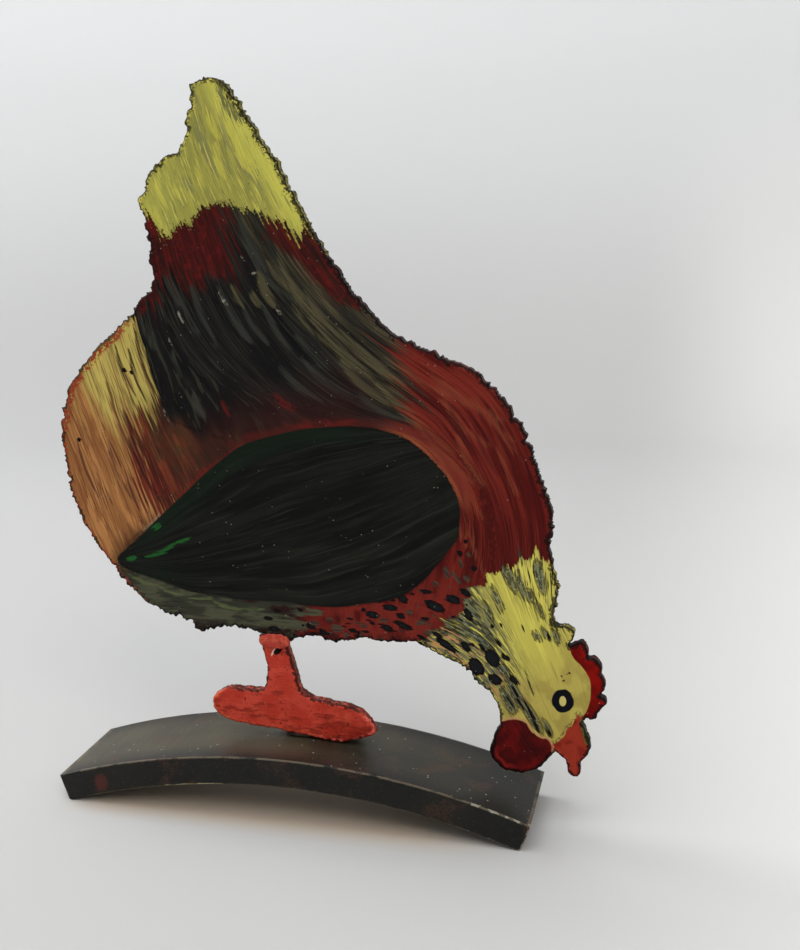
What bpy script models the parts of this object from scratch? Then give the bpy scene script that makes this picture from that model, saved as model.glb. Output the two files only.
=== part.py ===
"""Folk-art hen torch-cut from steel plate and welded by its foot to an arched steel bar.

Metres, +Z up. The hen stands in the XZ plane, looks towards +X and turns its painted front to -Y.
Outlines are drawn in millimetres, as (x, z), from the floor under the middle of the arched bar.
The part's origin is the floor under the middle of its whole length, from rump to comb.
"""

import math

import bmesh
import bpy
from mathutils import Matrix

MM = 0.001

PLATE = 6.35
GAP = 0.3

BAR_OUTER_RADIUS = 376.5
BAR_THICKNESS = 15.0
BAR_WIDTH = 60.0
BAR_HALF_ANGLE = math.radians(19.5)
CREST_HEIGHT = 35.1
BAR_CENTRE_Z = CREST_HEIGHT - BAR_OUTER_RADIUS
BAR_INNER_RADIUS = BAR_OUTER_RADIUS - BAR_THICKNESS

RUMP_X = -126.0
COMB_X = 158.7
MIDDLE_X = (RUMP_X + COMB_X) / 2

ARC_STEPS = 32
OUTLINE_STEPS = 6

# The hen without its leg, clockwise from the notch between rump and tail. Every run starts at a
# corner and bends smoothly through its other points.
TAIL_ROOT = [(-69, 273.5), (-71.2, 281), (-70.3, 288), (-72, 297), (-72.3, 304)]
TAIL_REAR = [(-76, 311), (-72.2, 316), (-70.4, 322), (-66, 327.5), (-60, 332), (-54.5, 334)]
TAIL_STEP = [(-51.8, 337.8), (-49.6, 341), (-49.3, 349), (-46.3, 354), (-45.8, 361)]
TAIL_TIP = [(-45.5, 364.8), (-41, 367.2), (-35, 368.4), (-29.5, 366.4), (-24.4, 361)]
TAIL_FRONT = [(-20.5, 353.6), (-12.2, 340.4), (-3.2, 328.6), (5.5, 311.8), (19.6, 286.6)]
BACK = [(32.6, 267.6), (50.4, 249.9), (65, 242.6), (83.3, 234.9), (96.6, 227.6), (112.6, 210.3)]
BREAST = [(117, 199.8), (123.4, 184), (128.4, 170), (130.6, 156), (129.3, 149), (131.4, 137)]
NAPE = [(133.8, 126.5), (133, 118)]
CREST = [(133.4, 108.4), (138, 107.9), (141.3, 106), (141.8, 101.6)]
COMB_TOP = [(140.3, 98), (143.2, 99), (145.4, 99.8), (148.2, 97.2)]
COMB_MIDDLE = [(149.1, 91.7), (152.6, 91.8), (155, 89), (156, 83), (158, 78)]
COMB_FRONT = [(155, 72.6), (COMB_X, 70.2), (156, 65), (151.4, 59.4), (148.8, 60)]
BEAK = [(146.8, 58.1), (149.4, 52.2), (151.4, 46.6), (150.2, 40.8), (146.8, 36.4), (147, 30.6)]
BEAK_TIP = [(145.6, 28.9), (142.2, 29.2), (139.4, 36), (136, 40)]
WATTLE = [(134.1, 41.7), (129.8, 36), (126, 31), (114.5, 27.7), (104.5, 31.6), (101.4, 38.6)]
WATTLE_REAR = [(102.8, 46.4)]
THROAT = [(106.6, 53), (105.8, 60), (101.8, 68.6), (95.6, 74), (86, 83), (77.4, 86.6), (66, 92)]
BELLY = [(62, 93.8), (48, 92.3), (36, 93.4), (25.5, 91.2), (17, 90), (10.6, 92.4), (2.4, 91.3)]
LEG_SEAT = [(-2.4, 88.9)]
VENT = [(-20.4, 91.4), (-25, 93.7), (-40, 93.7), (-55.4, 92.4)]
RUMP = [(-56.6, 95.8), (-75.5, 100.5), (-92.6, 113), (-107.8, 132), (-119.4, 154), (-124.2, 176)]
RUMP_TOP = [(RUMP_X, 200.2), (-120.8, 214), (-112.8, 228), (-96.2, 244.2), (-81.4, 257.4)]
HEN_RUNS = [
    TAIL_ROOT, TAIL_REAR, TAIL_STEP, TAIL_TIP, TAIL_FRONT, BACK, BREAST, NAPE, CREST,
    COMB_TOP, COMB_MIDDLE, COMB_FRONT, BEAK, BEAK_TIP, WATTLE, WATTLE_REAR, THROAT,
    BELLY, LEG_SEAT, VENT, RUMP, RUMP_TOP,
]

# The leg with its long foot, clockwise from the upper right corner, which meets the belly.
SHIN_FRONT = [(-4.8, 88.4), (-4.9, 84), (-2.8, 78.5), (-1, 71), (0.6, 65), (3.6, 60.2)]
TOE = [(8.4, 57.6), (14, 57.3), (22, 55.9), (31, 54.3), (36.6, 50.4), (40.6, 45)]
SOLE_FRONT = [(41.6, 42.4), (39, 40.2), (30, 37.1), (22.5, 34.9)]
SOLE = [(15, 35.5), (-16, 39.1), (-28, 40), (-38.4, 41.8), (-44.6, 44.7), (-47.8, 49)]
HEEL_TOP = [(-47.2, 54.2), (-43.6, 58), (-38, 59.7), (-30, 60.2)]
SHIN_REAR = [(-22, 60.3), (-18.3, 62.2), (-17.2, 67), (-16.9, 73), (-17.8, 79), (-19, 84.4)]
SHIN_TOP = [(-20.4, 90.6)]
LEG_RUNS = [SHIN_FRONT, TOE, SOLE_FRONT, SOLE + HEEL_TOP, SHIN_REAR, SHIN_TOP]

# Weld metal.
LEG_BEAD_MIDDLE = (-11.7, 88.8)
LEG_BEAD_SLOPE = math.radians(7.6)
LEG_BEAD_SIZE = (16.8, 8.2)
LEG_BEAD_PROUD = 1.7
FOOT_FILLET = 6.0
FOOT_FILLET_SPAN = (-12.0, 34.0)
ROOT_SPAN = (-8.0, 8.0)
ROOT_SET_IN = 0.6
BEAD_SEGMENTS = 28
BEAD_RINGS = 14
FILLET_STEPS = 7


def clear_scene():
    for leftover in list(bpy.data.objects):
        bpy.data.objects.remove(leftover, do_unlink=True)


def plain_material(name, colour, roughness, metallic=0.0):
    material = bpy.data.materials.new(name)
    material.use_nodes = True
    shader = material.node_tree.nodes["Principled BSDF"]
    shader.inputs["Base Color"].default_value = (*colour, 1.0)
    shader.inputs["Roughness"].default_value = roughness
    shader.inputs["Metallic"].default_value = metallic
    return material


def add_piece(name, data, material, collection, parent):
    """Links one piece under the part's origin empty and gives it its material."""
    piece = bpy.data.objects.new(name, data)
    data.materials.append(material)
    collection.objects.link(piece)
    piece.parent = parent
    return piece


def flat_curve(name, width):
    """An empty 2D curve that becomes a filled slab, as thick as width in millimetres."""
    curve = bpy.data.curves.new(name, "CURVE")
    curve.dimensions = "2D"
    curve.fill_mode = "BOTH"
    curve.extrude = width / 2 * MM
    curve.resolution_u = OUTLINE_STEPS
    return curve


def smooth_outline(name, runs, width):
    """A slab whose outline is smooth along each run and turns sharply where runs meet."""
    curve = flat_curve(name, width)
    knots = [(point, place == 0) for run in runs for place, point in enumerate(run)]
    spline = curve.splines.new("BEZIER")
    spline.bezier_points.add(len(knots) - 1)
    for knot, (point, corner) in zip(spline.bezier_points, knots):
        knot.co = (point[0] * MM, point[1] * MM, 0)
        knot.handle_left_type = "VECTOR" if corner else "AUTO"
        knot.handle_right_type = knot.handle_left_type
    spline.use_cyclic_u = True
    return curve


def straight_outline(name, points, width):
    """A slab whose outline runs straight from point to point."""
    curve = flat_curve(name, width)
    spline = curve.splines.new("POLY")
    spline.points.add(len(points) - 1)
    for knot, (x, z) in zip(spline.points, points):
        knot.co = (x * MM, z * MM, 0, 1)
    spline.use_cyclic_u = True
    return curve


def arc(radius, start, end, steps):
    """Points on a circle about the bar's centre of curvature; angles run from the vertical."""
    points = []
    for step in range(steps + 1):
        angle = start + (end - start) * step / steps
        points.append((radius * math.sin(angle), BAR_CENTRE_Z + radius * math.cos(angle)))
    return points


def stand_up(piece):
    """Turns a slab drawn in its own XY plane so that its drawing stands in XZ."""
    piece.rotation_euler = (math.pi / 2, 0, 0)


def arched_bar():
    """The bar's side view: two arcs, radial ends, and a ground flat under each end."""
    foot_angle = math.acos(-BAR_CENTRE_Z / BAR_INNER_RADIUS)
    end_x = -BAR_CENTRE_Z * math.tan(BAR_HALF_ANGLE)
    top = arc(BAR_OUTER_RADIUS, -BAR_HALF_ANGLE, BAR_HALF_ANGLE, ARC_STEPS)
    underside = arc(BAR_INNER_RADIUS, foot_angle, -foot_angle, ARC_STEPS)
    return top + [(end_x, 0)] + underside + [(-end_x, 0)]


def leg_bead(side):
    """Half of a flattened ball lying on one face of the plates; side is -1 in front, 1 behind."""
    mesh = bpy.data.meshes.new("leg_bead")
    bead = bmesh.new()
    bmesh.ops.create_uvsphere(bead, u_segments=BEAD_SEGMENTS, v_segments=BEAD_RINGS, radius=1)
    length, height = LEG_BEAD_SIZE
    size = (length / 2 * MM, LEG_BEAD_PROUD * MM, height / 2 * MM)
    bmesh.ops.scale(bead, vec=size, verts=bead.verts)
    everything = bead.verts[:] + bead.edges[:] + bead.faces[:]
    cut = bmesh.ops.bisect_plane(
        bead, geom=everything, dist=1e-7, plane_co=(0, 0, 0), plane_no=(0, -side, 0), clear_outer=True
    )
    rim = [item for item in cut["geom_cut"] if isinstance(item, bmesh.types.BMEdge)]
    bmesh.ops.contextual_create(bead, geom=rim)
    bmesh.ops.recalc_face_normals(bead, faces=bead.faces)
    bmesh.ops.rotate(bead, cent=(0, 0, 0), matrix=Matrix.Rotation(LEG_BEAD_SLOPE, 3, "Y"), verts=bead.verts)
    x, z = LEG_BEAD_MIDDLE
    place = (x * MM, side * (PLATE / 2 + GAP) * MM, z * MM)
    bmesh.ops.translate(bead, vec=place, verts=bead.verts)
    bead.to_mesh(mesh)
    bead.free()
    return mesh


def foot_fillet():
    """The weld behind the foot: a quarter round swept along the top of the bar."""
    mesh = bpy.data.meshes.new("foot_fillet")
    sweep = bmesh.new()
    corner_y = PLATE / 2 + GAP
    corner_r = BAR_OUTER_RADIUS + GAP
    start, end = (math.asin(x / BAR_OUTER_RADIUS) for x in FOOT_FILLET_SPAN)
    section = [(corner_y, corner_r)]
    for step in range(FILLET_STEPS + 1):
        angle = math.pi / 2 * step / FILLET_STEPS
        section.append((corner_y + FOOT_FILLET * math.cos(angle), corner_r + FOOT_FILLET * math.sin(angle)))
    corners = []
    for y, radius in section:
        x = radius * math.sin(start)
        z = BAR_CENTRE_Z + radius * math.cos(start)
        corners.append(sweep.verts.new((x * MM, y * MM, z * MM)))
    face = sweep.faces.new(corners)
    bmesh.ops.spin(
        sweep, geom=[face, *face.edges, *face.verts], cent=(0, 0, BAR_CENTRE_Z * MM),
        axis=(0, 1, 0), angle=end - start, steps=FILLET_STEPS, use_duplicate=False,
    )
    bmesh.ops.recalc_face_normals(sweep, faces=sweep.faces)
    sweep.to_mesh(mesh)
    sweep.free()
    return mesh


def sole_height(x):
    """Height of the sole between its two long points, which it joins in a straight line."""
    (x0, z0), (x1, z1) = SOLE[0], SOLE[1]
    return z0 + (z1 - z0) * (x - x0) / (x1 - x0)


def root_wedge():
    """Side view of the weld metal that fills the gap between the sole and the top of the bar."""
    start, end = (math.asin(x / BAR_OUTER_RADIUS) for x in ROOT_SPAN)
    underside = arc(BAR_OUTER_RADIUS + GAP, end, start, FILLET_STEPS)
    top = [(x, sole_height(x) - GAP) for x in ROOT_SPAN]
    return underside + top


def build():
    clear_scene()
    collection = bpy.data.collections.new("steel_hen")
    bpy.context.scene.collection.children.link(collection)
    origin = bpy.data.objects.new("hen_origin", None)
    origin.location.x = -MIDDLE_X * MM
    collection.objects.link(origin)

    feathers = plain_material("feather_paint", (0.07, 0.05, 0.035), 0.45)
    vermilion = plain_material("leg_paint", (0.42, 0.035, 0.015), 0.45)
    weld_paint = plain_material("weld_paint", (0.45, 0.05, 0.02), 0.4)
    black = plain_material("bar_paint", (0.06, 0.06, 0.05), 0.5)
    bare_weld = plain_material("foot_weld_steel", (0.03, 0.025, 0.02), 0.6, 0.6)

    slabs = [
        ("hen_plate", smooth_outline("hen_plate", HEN_RUNS, PLATE), feathers),
        ("leg_and_foot", smooth_outline("leg_and_foot", LEG_RUNS, PLATE), vermilion),
        ("arched_bar", straight_outline("arched_bar", arched_bar(), BAR_WIDTH), black),
        ("foot_weld_root", straight_outline("foot_weld_root", root_wedge(), PLATE - 2 * ROOT_SET_IN), bare_weld),
    ]
    for name, curve, material in slabs:
        stand_up(add_piece(name, curve, material, collection, origin))
    add_piece("leg_weld_front", leg_bead(-1), weld_paint, collection, origin)
    add_piece("leg_weld_rear", leg_bead(1), weld_paint, collection, origin)
    add_piece("foot_weld_rear", foot_fillet(), bare_weld, collection, origin)


build()
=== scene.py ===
import math

import bmesh
import bpy
import numpy as np
from mathutils import Matrix, Vector
from mathutils.geometry import delaunay_2d_cdt
from mathutils.kdtree import KDTree


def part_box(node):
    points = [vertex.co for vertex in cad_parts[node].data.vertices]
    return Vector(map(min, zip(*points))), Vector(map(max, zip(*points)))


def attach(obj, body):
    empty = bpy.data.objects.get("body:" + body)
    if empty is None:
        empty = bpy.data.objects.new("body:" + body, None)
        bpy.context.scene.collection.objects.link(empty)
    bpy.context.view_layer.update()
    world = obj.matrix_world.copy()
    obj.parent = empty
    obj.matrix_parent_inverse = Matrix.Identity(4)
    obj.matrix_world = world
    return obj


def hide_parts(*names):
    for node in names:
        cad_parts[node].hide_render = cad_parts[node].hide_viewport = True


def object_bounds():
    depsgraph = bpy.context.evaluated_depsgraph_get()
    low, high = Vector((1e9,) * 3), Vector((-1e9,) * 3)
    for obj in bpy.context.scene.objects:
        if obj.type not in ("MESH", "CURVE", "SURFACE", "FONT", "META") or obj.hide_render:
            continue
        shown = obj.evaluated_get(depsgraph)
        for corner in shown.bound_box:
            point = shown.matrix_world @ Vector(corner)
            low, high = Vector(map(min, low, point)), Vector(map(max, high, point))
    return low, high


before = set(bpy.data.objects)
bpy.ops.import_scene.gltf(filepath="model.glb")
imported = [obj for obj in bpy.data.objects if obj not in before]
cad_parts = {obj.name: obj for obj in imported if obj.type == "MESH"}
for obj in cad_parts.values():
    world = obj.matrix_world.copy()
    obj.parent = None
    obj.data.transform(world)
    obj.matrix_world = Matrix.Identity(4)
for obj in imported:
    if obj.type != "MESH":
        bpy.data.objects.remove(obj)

cad_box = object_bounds()

# ---------------------------------------------------------------- sizes
# Drawing coordinates are millimetres: x to the right from under the middle of the bar,
# z up from the floor, seen from the painted front side, which faces -y.
MM = 0.001
BAR_LOW, BAR_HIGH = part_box("arched_bar")
MIDDLE = (BAR_LOW.x + BAR_HIGH.x) / 2
EYE_PLACE = (137.4, 68.7)
EYE_SIZE = (5.4, 6.2)
PUPIL_SIZE = (1.7, 2.7)
PIT_PLACE = (-10.2, 83.2)
PIT_SIZE = (3.3, 1.4)
PIT_TURN = 49.0


def linear(red, green, blue):
    """A colour given as 0 to 255 screen values, as the linear colour that the shader needs."""
    shares = [value / 255 for value in (red, green, blue)]
    return tuple(s / 12.92 if s < 0.04 else ((s + 0.055) / 1.055) ** 2.4 for s in shares) + (1.0,)


# ---------------------------------------------------------------- paths and distances
def smooth(knots, closed=False, pieces=6):
    """A smooth path through the knots."""
    knots = np.array(knots, float)
    if closed:
        knots = np.vstack([knots[-1], knots, knots[:2]])
    else:
        knots = np.vstack([2 * knots[0] - knots[1], knots, 2 * knots[-1] - knots[-2]])
    path = []
    for a, b, c, d in zip(knots[:-3], knots[1:-2], knots[2:-1], knots[3:]):
        for t in np.arange(pieces) / pieces:
            path.append(0.5 * (2 * b + (c - a) * t + (2 * a - 5 * b + 4 * c - d) * t * t
                               + (3 * b - a - 3 * c + d) * t ** 3))
    path.append(knots[-2])
    return np.array(path)


def nearest(points, path):
    """How far each point is from a path, and how far along the path its nearest place lies."""
    best = np.full(len(points), 1e9)
    along = np.zeros(len(points))
    start = 0.0
    for a, b in zip(path[:-1], path[1:]):
        step = b - a
        length = math.hypot(*step)
        if length < 1e-9:
            continue
        share = np.clip((points - a) @ step / length ** 2, 0, 1)
        gap = np.hypot(*(points - a - share[:, None] * step).T)
        closer = gap < best
        best[closer] = gap[closer]
        along[closer] = start + share[closer] * length
        start += length
    return best, along


def inside(points, path):
    """Which points lie inside a closed path."""
    result = np.zeros(len(points), bool)
    x, z = points.T
    for (ax, az), (bx, bz) in zip(path, np.roll(path, -1, axis=0)):
        if az != bz:
            result ^= ((az > z) != (bz > z)) & (x < ax + (z - az) / (bz - az) * (bx - ax))
    return result


def depth_in(points, path):
    """Millimetres from the border of a closed path, counted positive inside it."""
    gap = nearest(points, np.vstack([path, path[:1]]))[0]
    return np.where(inside(points, path), gap, -gap)


def sweep_field(points, guides):
    """Brush coordinates in a sweep of strokes: millimetres along the guide paths, and across them."""
    steps, pieces = 80, 12
    rails = []
    for guide in guides:
        path = smooth(guide)
        total = np.concatenate([[0], np.cumsum(np.hypot(*np.diff(path, axis=0).T))])
        places = np.linspace(0, total[-1], steps)
        rails.append(np.column_stack([np.interp(places, total, path[:, k]) for k in (0, 1)]))
    rails = np.array(rails)
    sheet = np.stack([smooth(rails[:, k], pieces=pieces) for k in range(steps)], axis=1)
    tree = KDTree(sheet.shape[0] * steps)
    for index, (x, z) in enumerate(sheet.reshape(-1, 2)):
        tree.insert((x, z, 0), index)
    tree.balance()
    found = np.array([tree.find((x, z, 0))[1] for x, z in points])
    row = np.clip(found // steps, 1, sheet.shape[0] - 2)
    column = np.clip(found % steps, 1, steps - 2)
    over = (sheet[row + 1, column] - sheet[row - 1, column]) / 2
    on = (sheet[row, column + 1] - sheet[row, column - 1]) / 2
    gap = points - sheet[row, column]
    area = over[:, 0] * on[:, 1] - over[:, 1] * on[:, 0]
    area = np.where(np.abs(area) < 1e-6, 1e-6, area)
    row = row + np.clip((gap[:, 0] * on[:, 1] - gap[:, 1] * on[:, 0]) / area, -2, 2)
    column = column + np.clip((over[:, 0] * gap[:, 1] - over[:, 1] * gap[:, 0]) / area, -2, 2)
    length = np.mean(np.hypot(*np.diff(rails, axis=1).transpose(2, 0, 1)).sum(1))
    width = np.mean(np.hypot(*np.diff(sheet, axis=0).transpose(2, 0, 1)).sum(0))
    return np.column_stack([column / steps * length, row / sheet.shape[0] * width, 0 * row])


def loop_lumps(count, cells, seed):
    """Smooth random heights from -1 to 1 around a closed loop, with so many lumps of mixed width."""
    chance = np.random.default_rng(seed)
    heights = chance.uniform(-1, 1, cells)
    ends = np.concatenate([[0], np.cumsum(chance.uniform(0.35, 1.9, cells))])
    place = np.interp(np.arange(count) / count, ends / ends[-1], np.arange(cells + 1))
    low = np.floor(place).astype(int)
    part = place - low
    part = part * part * (3 - 2 * part)
    return heights[low % cells] * (1 - part) + heights[(low + 1) % cells] * part


def field_lumps(points, pitch, seed):
    """Smooth random heights from -1 to 1 over a flat face, with lumps of the given pitch."""
    table = np.random.default_rng(seed).uniform(-1, 1, (256, 256))
    place = points / pitch + 1000
    low = np.floor(place).astype(int)
    part = place - low
    part = part * part * (3 - 2 * part)
    x, z = low.T
    u, v = part.T
    near = table[x % 256, z % 256] * (1 - u) + table[(x + 1) % 256, z % 256] * u
    far = table[x % 256, (z + 1) % 256] * (1 - u) + table[(x + 1) % 256, (z + 1) % 256] * u
    return near * (1 - v) + far * v


# ---------------------------------------------------------------- plates with cut edges
def face_outline(node):
    """The outline of a CAD plate's front face, in order, in drawing millimetres."""
    plate = bmesh.new()
    plate.from_mesh(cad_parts[node].data)
    bmesh.ops.remove_doubles(plate, verts=plate.verts, dist=1e-6)
    follow = {}
    for face in plate.faces:
        if face.normal.y > -0.9:
            continue
        for loop in face.loops:
            if any(other.normal.y > -0.9 for other in loop.edge.link_faces):
                follow[loop.vert] = loop.link_loop_next.vert
    first = next(iter(follow))
    corners = [first]
    while follow[corners[-1]] is not first:
        corners.append(follow[corners[-1]])
    outline = np.array([((v.co.x - MIDDLE) / MM, v.co.z / MM) for v in corners])
    plate.free()
    return outline


def even_steps(outline, step):
    """The same closed outline with its points an even step apart."""
    closed = np.vstack([outline, outline[:1]])
    lengths = np.hypot(*np.diff(closed, axis=0).T)
    total = np.concatenate([[0], np.cumsum(lengths)])
    count = int(round(total[-1] / step))
    places = np.arange(count) * total[-1] / count
    return np.column_stack([np.interp(places, total, closed[:, k]) for k in (0, 1)])


def outward(outline, reach):
    """Unit directions out of a closed outline."""
    ahead = np.roll(outline, -reach, axis=0) - np.roll(outline, reach, axis=0)
    normal = np.column_stack([ahead[:, 1], -ahead[:, 0]])
    normal /= np.maximum(np.hypot(*normal.T), 1e-9)[:, None]
    area = np.sum(outline[:, 0] * np.roll(outline[:, 1], -1) - outline[:, 1] * np.roll(outline[:, 0], -1))
    return normal if area > 0 else -normal


def from_corners(outline):
    """For each point of an even outline, millimetres along it to the nearest sharp corner."""
    count = len(outline)
    ahead = np.roll(outline, -1, axis=0) - outline
    turn = np.arctan2(*ahead.T)
    change = np.abs((np.roll(turn, -1) - np.roll(turn, 1) + math.pi) % (2 * math.pi) - math.pi)
    sharp = np.flatnonzero(change > math.radians(35))
    if len(sharp) == 0:
        return np.full(count, 100.0)
    steps = np.abs(np.arange(count)[:, None] - sharp[None, :])
    steps = np.minimum(steps, count - steps).min(1)
    return np.maximum(steps - 1, 0) * math.hypot(*ahead[0])


def keep_in_box(points, node):
    """Points moved no further out than the CAD node's own box."""
    low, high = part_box(node)
    points[:, 0] = np.clip(points[:, 0], (low.x - MIDDLE) / MM, (high.x - MIDDLE) / MM)
    points[:, 1] = np.clip(points[:, 1], low.z / MM, high.z / MM)
    return points


def grid_points(outline, step, fine_step, fine_zone, margin):
    """Staggered points inside an outline, closer together in the finer zone."""
    points = []
    for size, wanted in ((step, False), (fine_step, True)):
        low = outline.min(0) - size
        count = ((outline.max(0) - low) / size).astype(int) + 2
        i, j = np.meshgrid(np.arange(count[0]), np.arange(count[1]), indexing="ij")
        x = low[0] + (i + 0.5 * (j % 2)) * size
        grid = np.column_stack([x.ravel(), (low[1] + j * size).ravel()])
        zone = fine_zone(grid[:, 0], grid[:, 1])
        points.append(grid[zone == wanted])
    points = np.vstack(points)
    points = points[inside(points, outline)]
    return points[nearest(points, np.vstack([outline, outline[:1]]))[0] > margin]


def triangles(points, border_count):
    """Triangles over the points, inside the border made by the first of them."""
    border = [list(range(border_count))]
    result = delaunay_2d_cdt([Vector(p) for p in points], [], border, 1, 1e-6)
    corners, faces, sources = result[0], result[2], result[3]
    names = [source[0] if source else -1 for source in sources]
    if len(corners) != len(points) or -1 in names:
        print("triangulation changed the point count", len(points), len(corners))
    return [tuple(names[k] for k in face) for face in faces]


def cut_plate(name, node, shape, paint):
    """A piece with the outline of a CAD plate, with cut edges as its shape dictionary says.
    paint is called with the drawing points of every vertex, and returns named values for them."""
    low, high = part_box(node)
    front, back = low.y / MM, high.y / MM
    outline = even_steps(face_outline(node), shape["step"])
    count = len(outline)
    length = count * shape["step"]
    rough = np.zeros(count)
    for number, (pitch, height) in enumerate(shape["rough"]):
        lumps = loop_lumps(count, max(8, int(length / pitch)), 11 + number)
        rough += height * (0.8 - 2 * np.abs(lumps))
    nicks = loop_lumps(count, int(length / 7), 31)
    rough -= shape["nick"] * np.clip((nicks - 0.62) / 0.38, 0, 1)
    rough *= 0.55 + 0.6 * np.abs(loop_lumps(count, max(8, int(length / 26)), 32))
    rough *= shape["calm"](outline)
    normal = outward(outline, 4)
    border = keep_in_box(outline + normal * rough[:, None], node)
    normal = outward(border, 4)
    rings = [border - normal * gap for gap in shape["rings"]]
    closed = np.vstack([border, border[:1]])
    kept = [border]
    for ring, gap in zip(rings, shape["rings"]):
        good = (nearest(ring, closed)[0] > 0.86 * gap) & inside(ring, border)
        kept.append(ring[good])
    kept.append(grid_points(border, shape["grid"], shape["fine"], shape["zone"],
                            shape["rings"][-1] + 0.4 * shape["grid"]))
    points = np.vstack(kept)
    faces = triangles(points, count)
    gap = nearest(points, closed)[0]
    gap[:count] = 0.0
    # The torch leaves a rounded corner, then a raised and lumpy lip just inside it.
    corner = shape["corner"]
    drop = corner * np.clip(1 - gap / (corner * 1.2), 0, 1) ** 2
    lumpy = 0.5 + 0.7 * field_lumps(points, 2.1, 5) + 0.5 * field_lumps(points, 5.3, 6)
    lip = shape["lip"] * np.exp(-((gap - 1.1) / 0.8) ** 2) * np.clip(lumpy, 0.0, 2.0)
    wave = shape["wave"] * (field_lumps(points, 17, 7) + 0.5 * field_lumps(points, 7, 8))
    dent = shape["dent"](points) if "dent" in shape else np.zeros(len(points))
    front_y = front + drop - lip + wave + dent
    back_y = back - drop + lip * 1.3 + wave
    places = [np.column_stack([points[:, 0], front_y, points[:, 1]]),
              np.column_stack([points[:, 0], back_y, points[:, 1]])]
    total = len(points)
    layers = shape["layers"]
    wall_faces = []
    rows = [np.arange(count)]
    corners = from_corners(outline)
    walls = [np.zeros(total), np.zeros(total)]
    distances = [gap, gap]
    for layer in range(1, layers):
        depth = layer / layers
        lag = int(round(shape["lag"] * depth ** 2 / shape["step"]))
        drag = np.roll(loop_lumps(count, max(8, int(length / 1.7)), 41), lag)
        drag = drag + 0.6 * np.roll(loop_lumps(count, max(8, int(length / 4.4)), 42), lag)
        bulge = shape["drag"] * drag * math.sin(math.pi * depth)
        ring = keep_in_box(border + normal * bulge[:, None], node)
        y = front_y[:count] * (1 - depth) + back_y[:count] * depth
        rows.append(2 * total + (layer - 1) * count + np.arange(count))
        places.append(np.column_stack([ring[:, 0], y, ring[:, 1]]))
        walls.append(np.full(count, min(1.0, 4 * depth, 4 * (1 - depth))))
        distances.append(np.minimum(min(depth, 1 - depth) * (back - front), corners))
    rows.append(total + np.arange(count))
    for upper, lower in zip(rows[:-1], rows[1:]):
        for k in range(count):
            after = (k + 1) % count
            wall_faces.append((upper[k], upper[after], lower[after], lower[k]))
    mesh = bpy.data.meshes.new(name)
    vertices = np.vstack(places) * MM + np.array([MIDDLE, 0, 0])
    vertices[:, 1] = np.clip(vertices[:, 1], cad_box[0].y, cad_box[1].y)
    back_faces = [tuple(total + k for k in reversed(face)) for face in faces]
    mesh.from_pydata(vertices.tolist(), [], list(faces) + back_faces + wall_faces)
    solid = bmesh.new()
    solid.from_mesh(mesh)
    bmesh.ops.recalc_face_normals(solid, faces=solid.faces)
    solid.to_mesh(mesh)
    solid.free()
    mesh.polygons.foreach_set("use_smooth", [True] * len(mesh.polygons))
    values = paint(points)
    store(mesh, "rim", np.concatenate(distances))
    for key, value in values.items():
        store(mesh, key, np.concatenate([value, value] + [value[:count]] * (layers - 1)))
    store(mesh, "wall", np.concatenate(walls))
    return place_piece(name, mesh, node)


def place_piece(name, mesh, node):
    """Puts a finished mesh in the scene, in place of its CAD node."""
    piece = bpy.data.objects.new(name, mesh)
    bpy.context.scene.collection.objects.link(piece)
    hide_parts(node)
    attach(piece, "root")
    return piece


def store(mesh, name, values):
    """Keeps one number, or one vector, for every vertex of a mesh under a name."""
    vector = values.ndim == 2
    attribute = mesh.attributes.new(name, "FLOAT_VECTOR" if vector else "FLOAT", "POINT")
    attribute.data.foreach_set("vector" if vector else "value", values.astype(np.float32).ravel())


# ---------------------------------------------------------------- paint regions of the hen
TAIL = [(-120, 400), (-120, 308), (-76, 307), (-72, 306), (-68, 301), (-63, 294.5), (-59.5, 294),
        (-56, 298), (-52, 301), (-48, 299), (-46, 304), (-42.7, 306.5), (-36, 309), (-30, 311),
        (-25, 307.5), (-18, 306), (-12, 303.5), (-5, 301.5), (0.5, 299), (5, 294), (8, 290),
        (9.5, 298), (13, 296), (17, 294), (19, 288), (24, 286), (60, 290), (60, 400)]
RED_BAND = [(-84, 318), (-30, 318), (-28, 302), (-26, 290), (-27, 279), (-36, 270), (-50, 269),
            (-59, 277), (-65, 275), (-68, 262), (-74, 256), (-84, 260)]
RED_EDGE = [(-14, 312), (24, 312), (46, 262), (36, 259), (28, 261), (20, 267), (14, 273), (8, 280),
            (2, 286), (-5, 290), (-10, 294)]
RUMP = [(-104, 266), (-84, 258), (-79.5, 252), (-77.5, 243), (-74.5, 231), (-71.5, 220), (-69, 211),
        (-64, 203), (-52, 199), (-34, 194), (-36, 180), (-56, 162), (-76, 148), (-88, 140), (-97.5, 129),
        (-97, 118), (-110, 106), (-140, 120), (-140, 262)]
RUMP_RED = [(-84, 206), (-75, 205), (-69, 217), (-52, 222), (-20, 218), (-24, 184), (-50, 164),
            (-66, 154), (-74, 150), (-80, 158), (-84, 172), (-86, 190)]
BREAST = [(46, 268), (51, 240), (56, 225), (60, 214), (56, 206), (50, 202), (60, 190), (60, 130),
          (30, 122), (6, 113), (-2, 105), (-5, 97), (0, 80), (200, 80), (200, 268)]
BELLY = [(-110, 124), (-97, 127), (-85, 124), (-60, 124), (0, 124), (5, 112), (1, 104), (-4, 96),
         (4, 80), (-140, 80), (-140, 112)]
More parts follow.
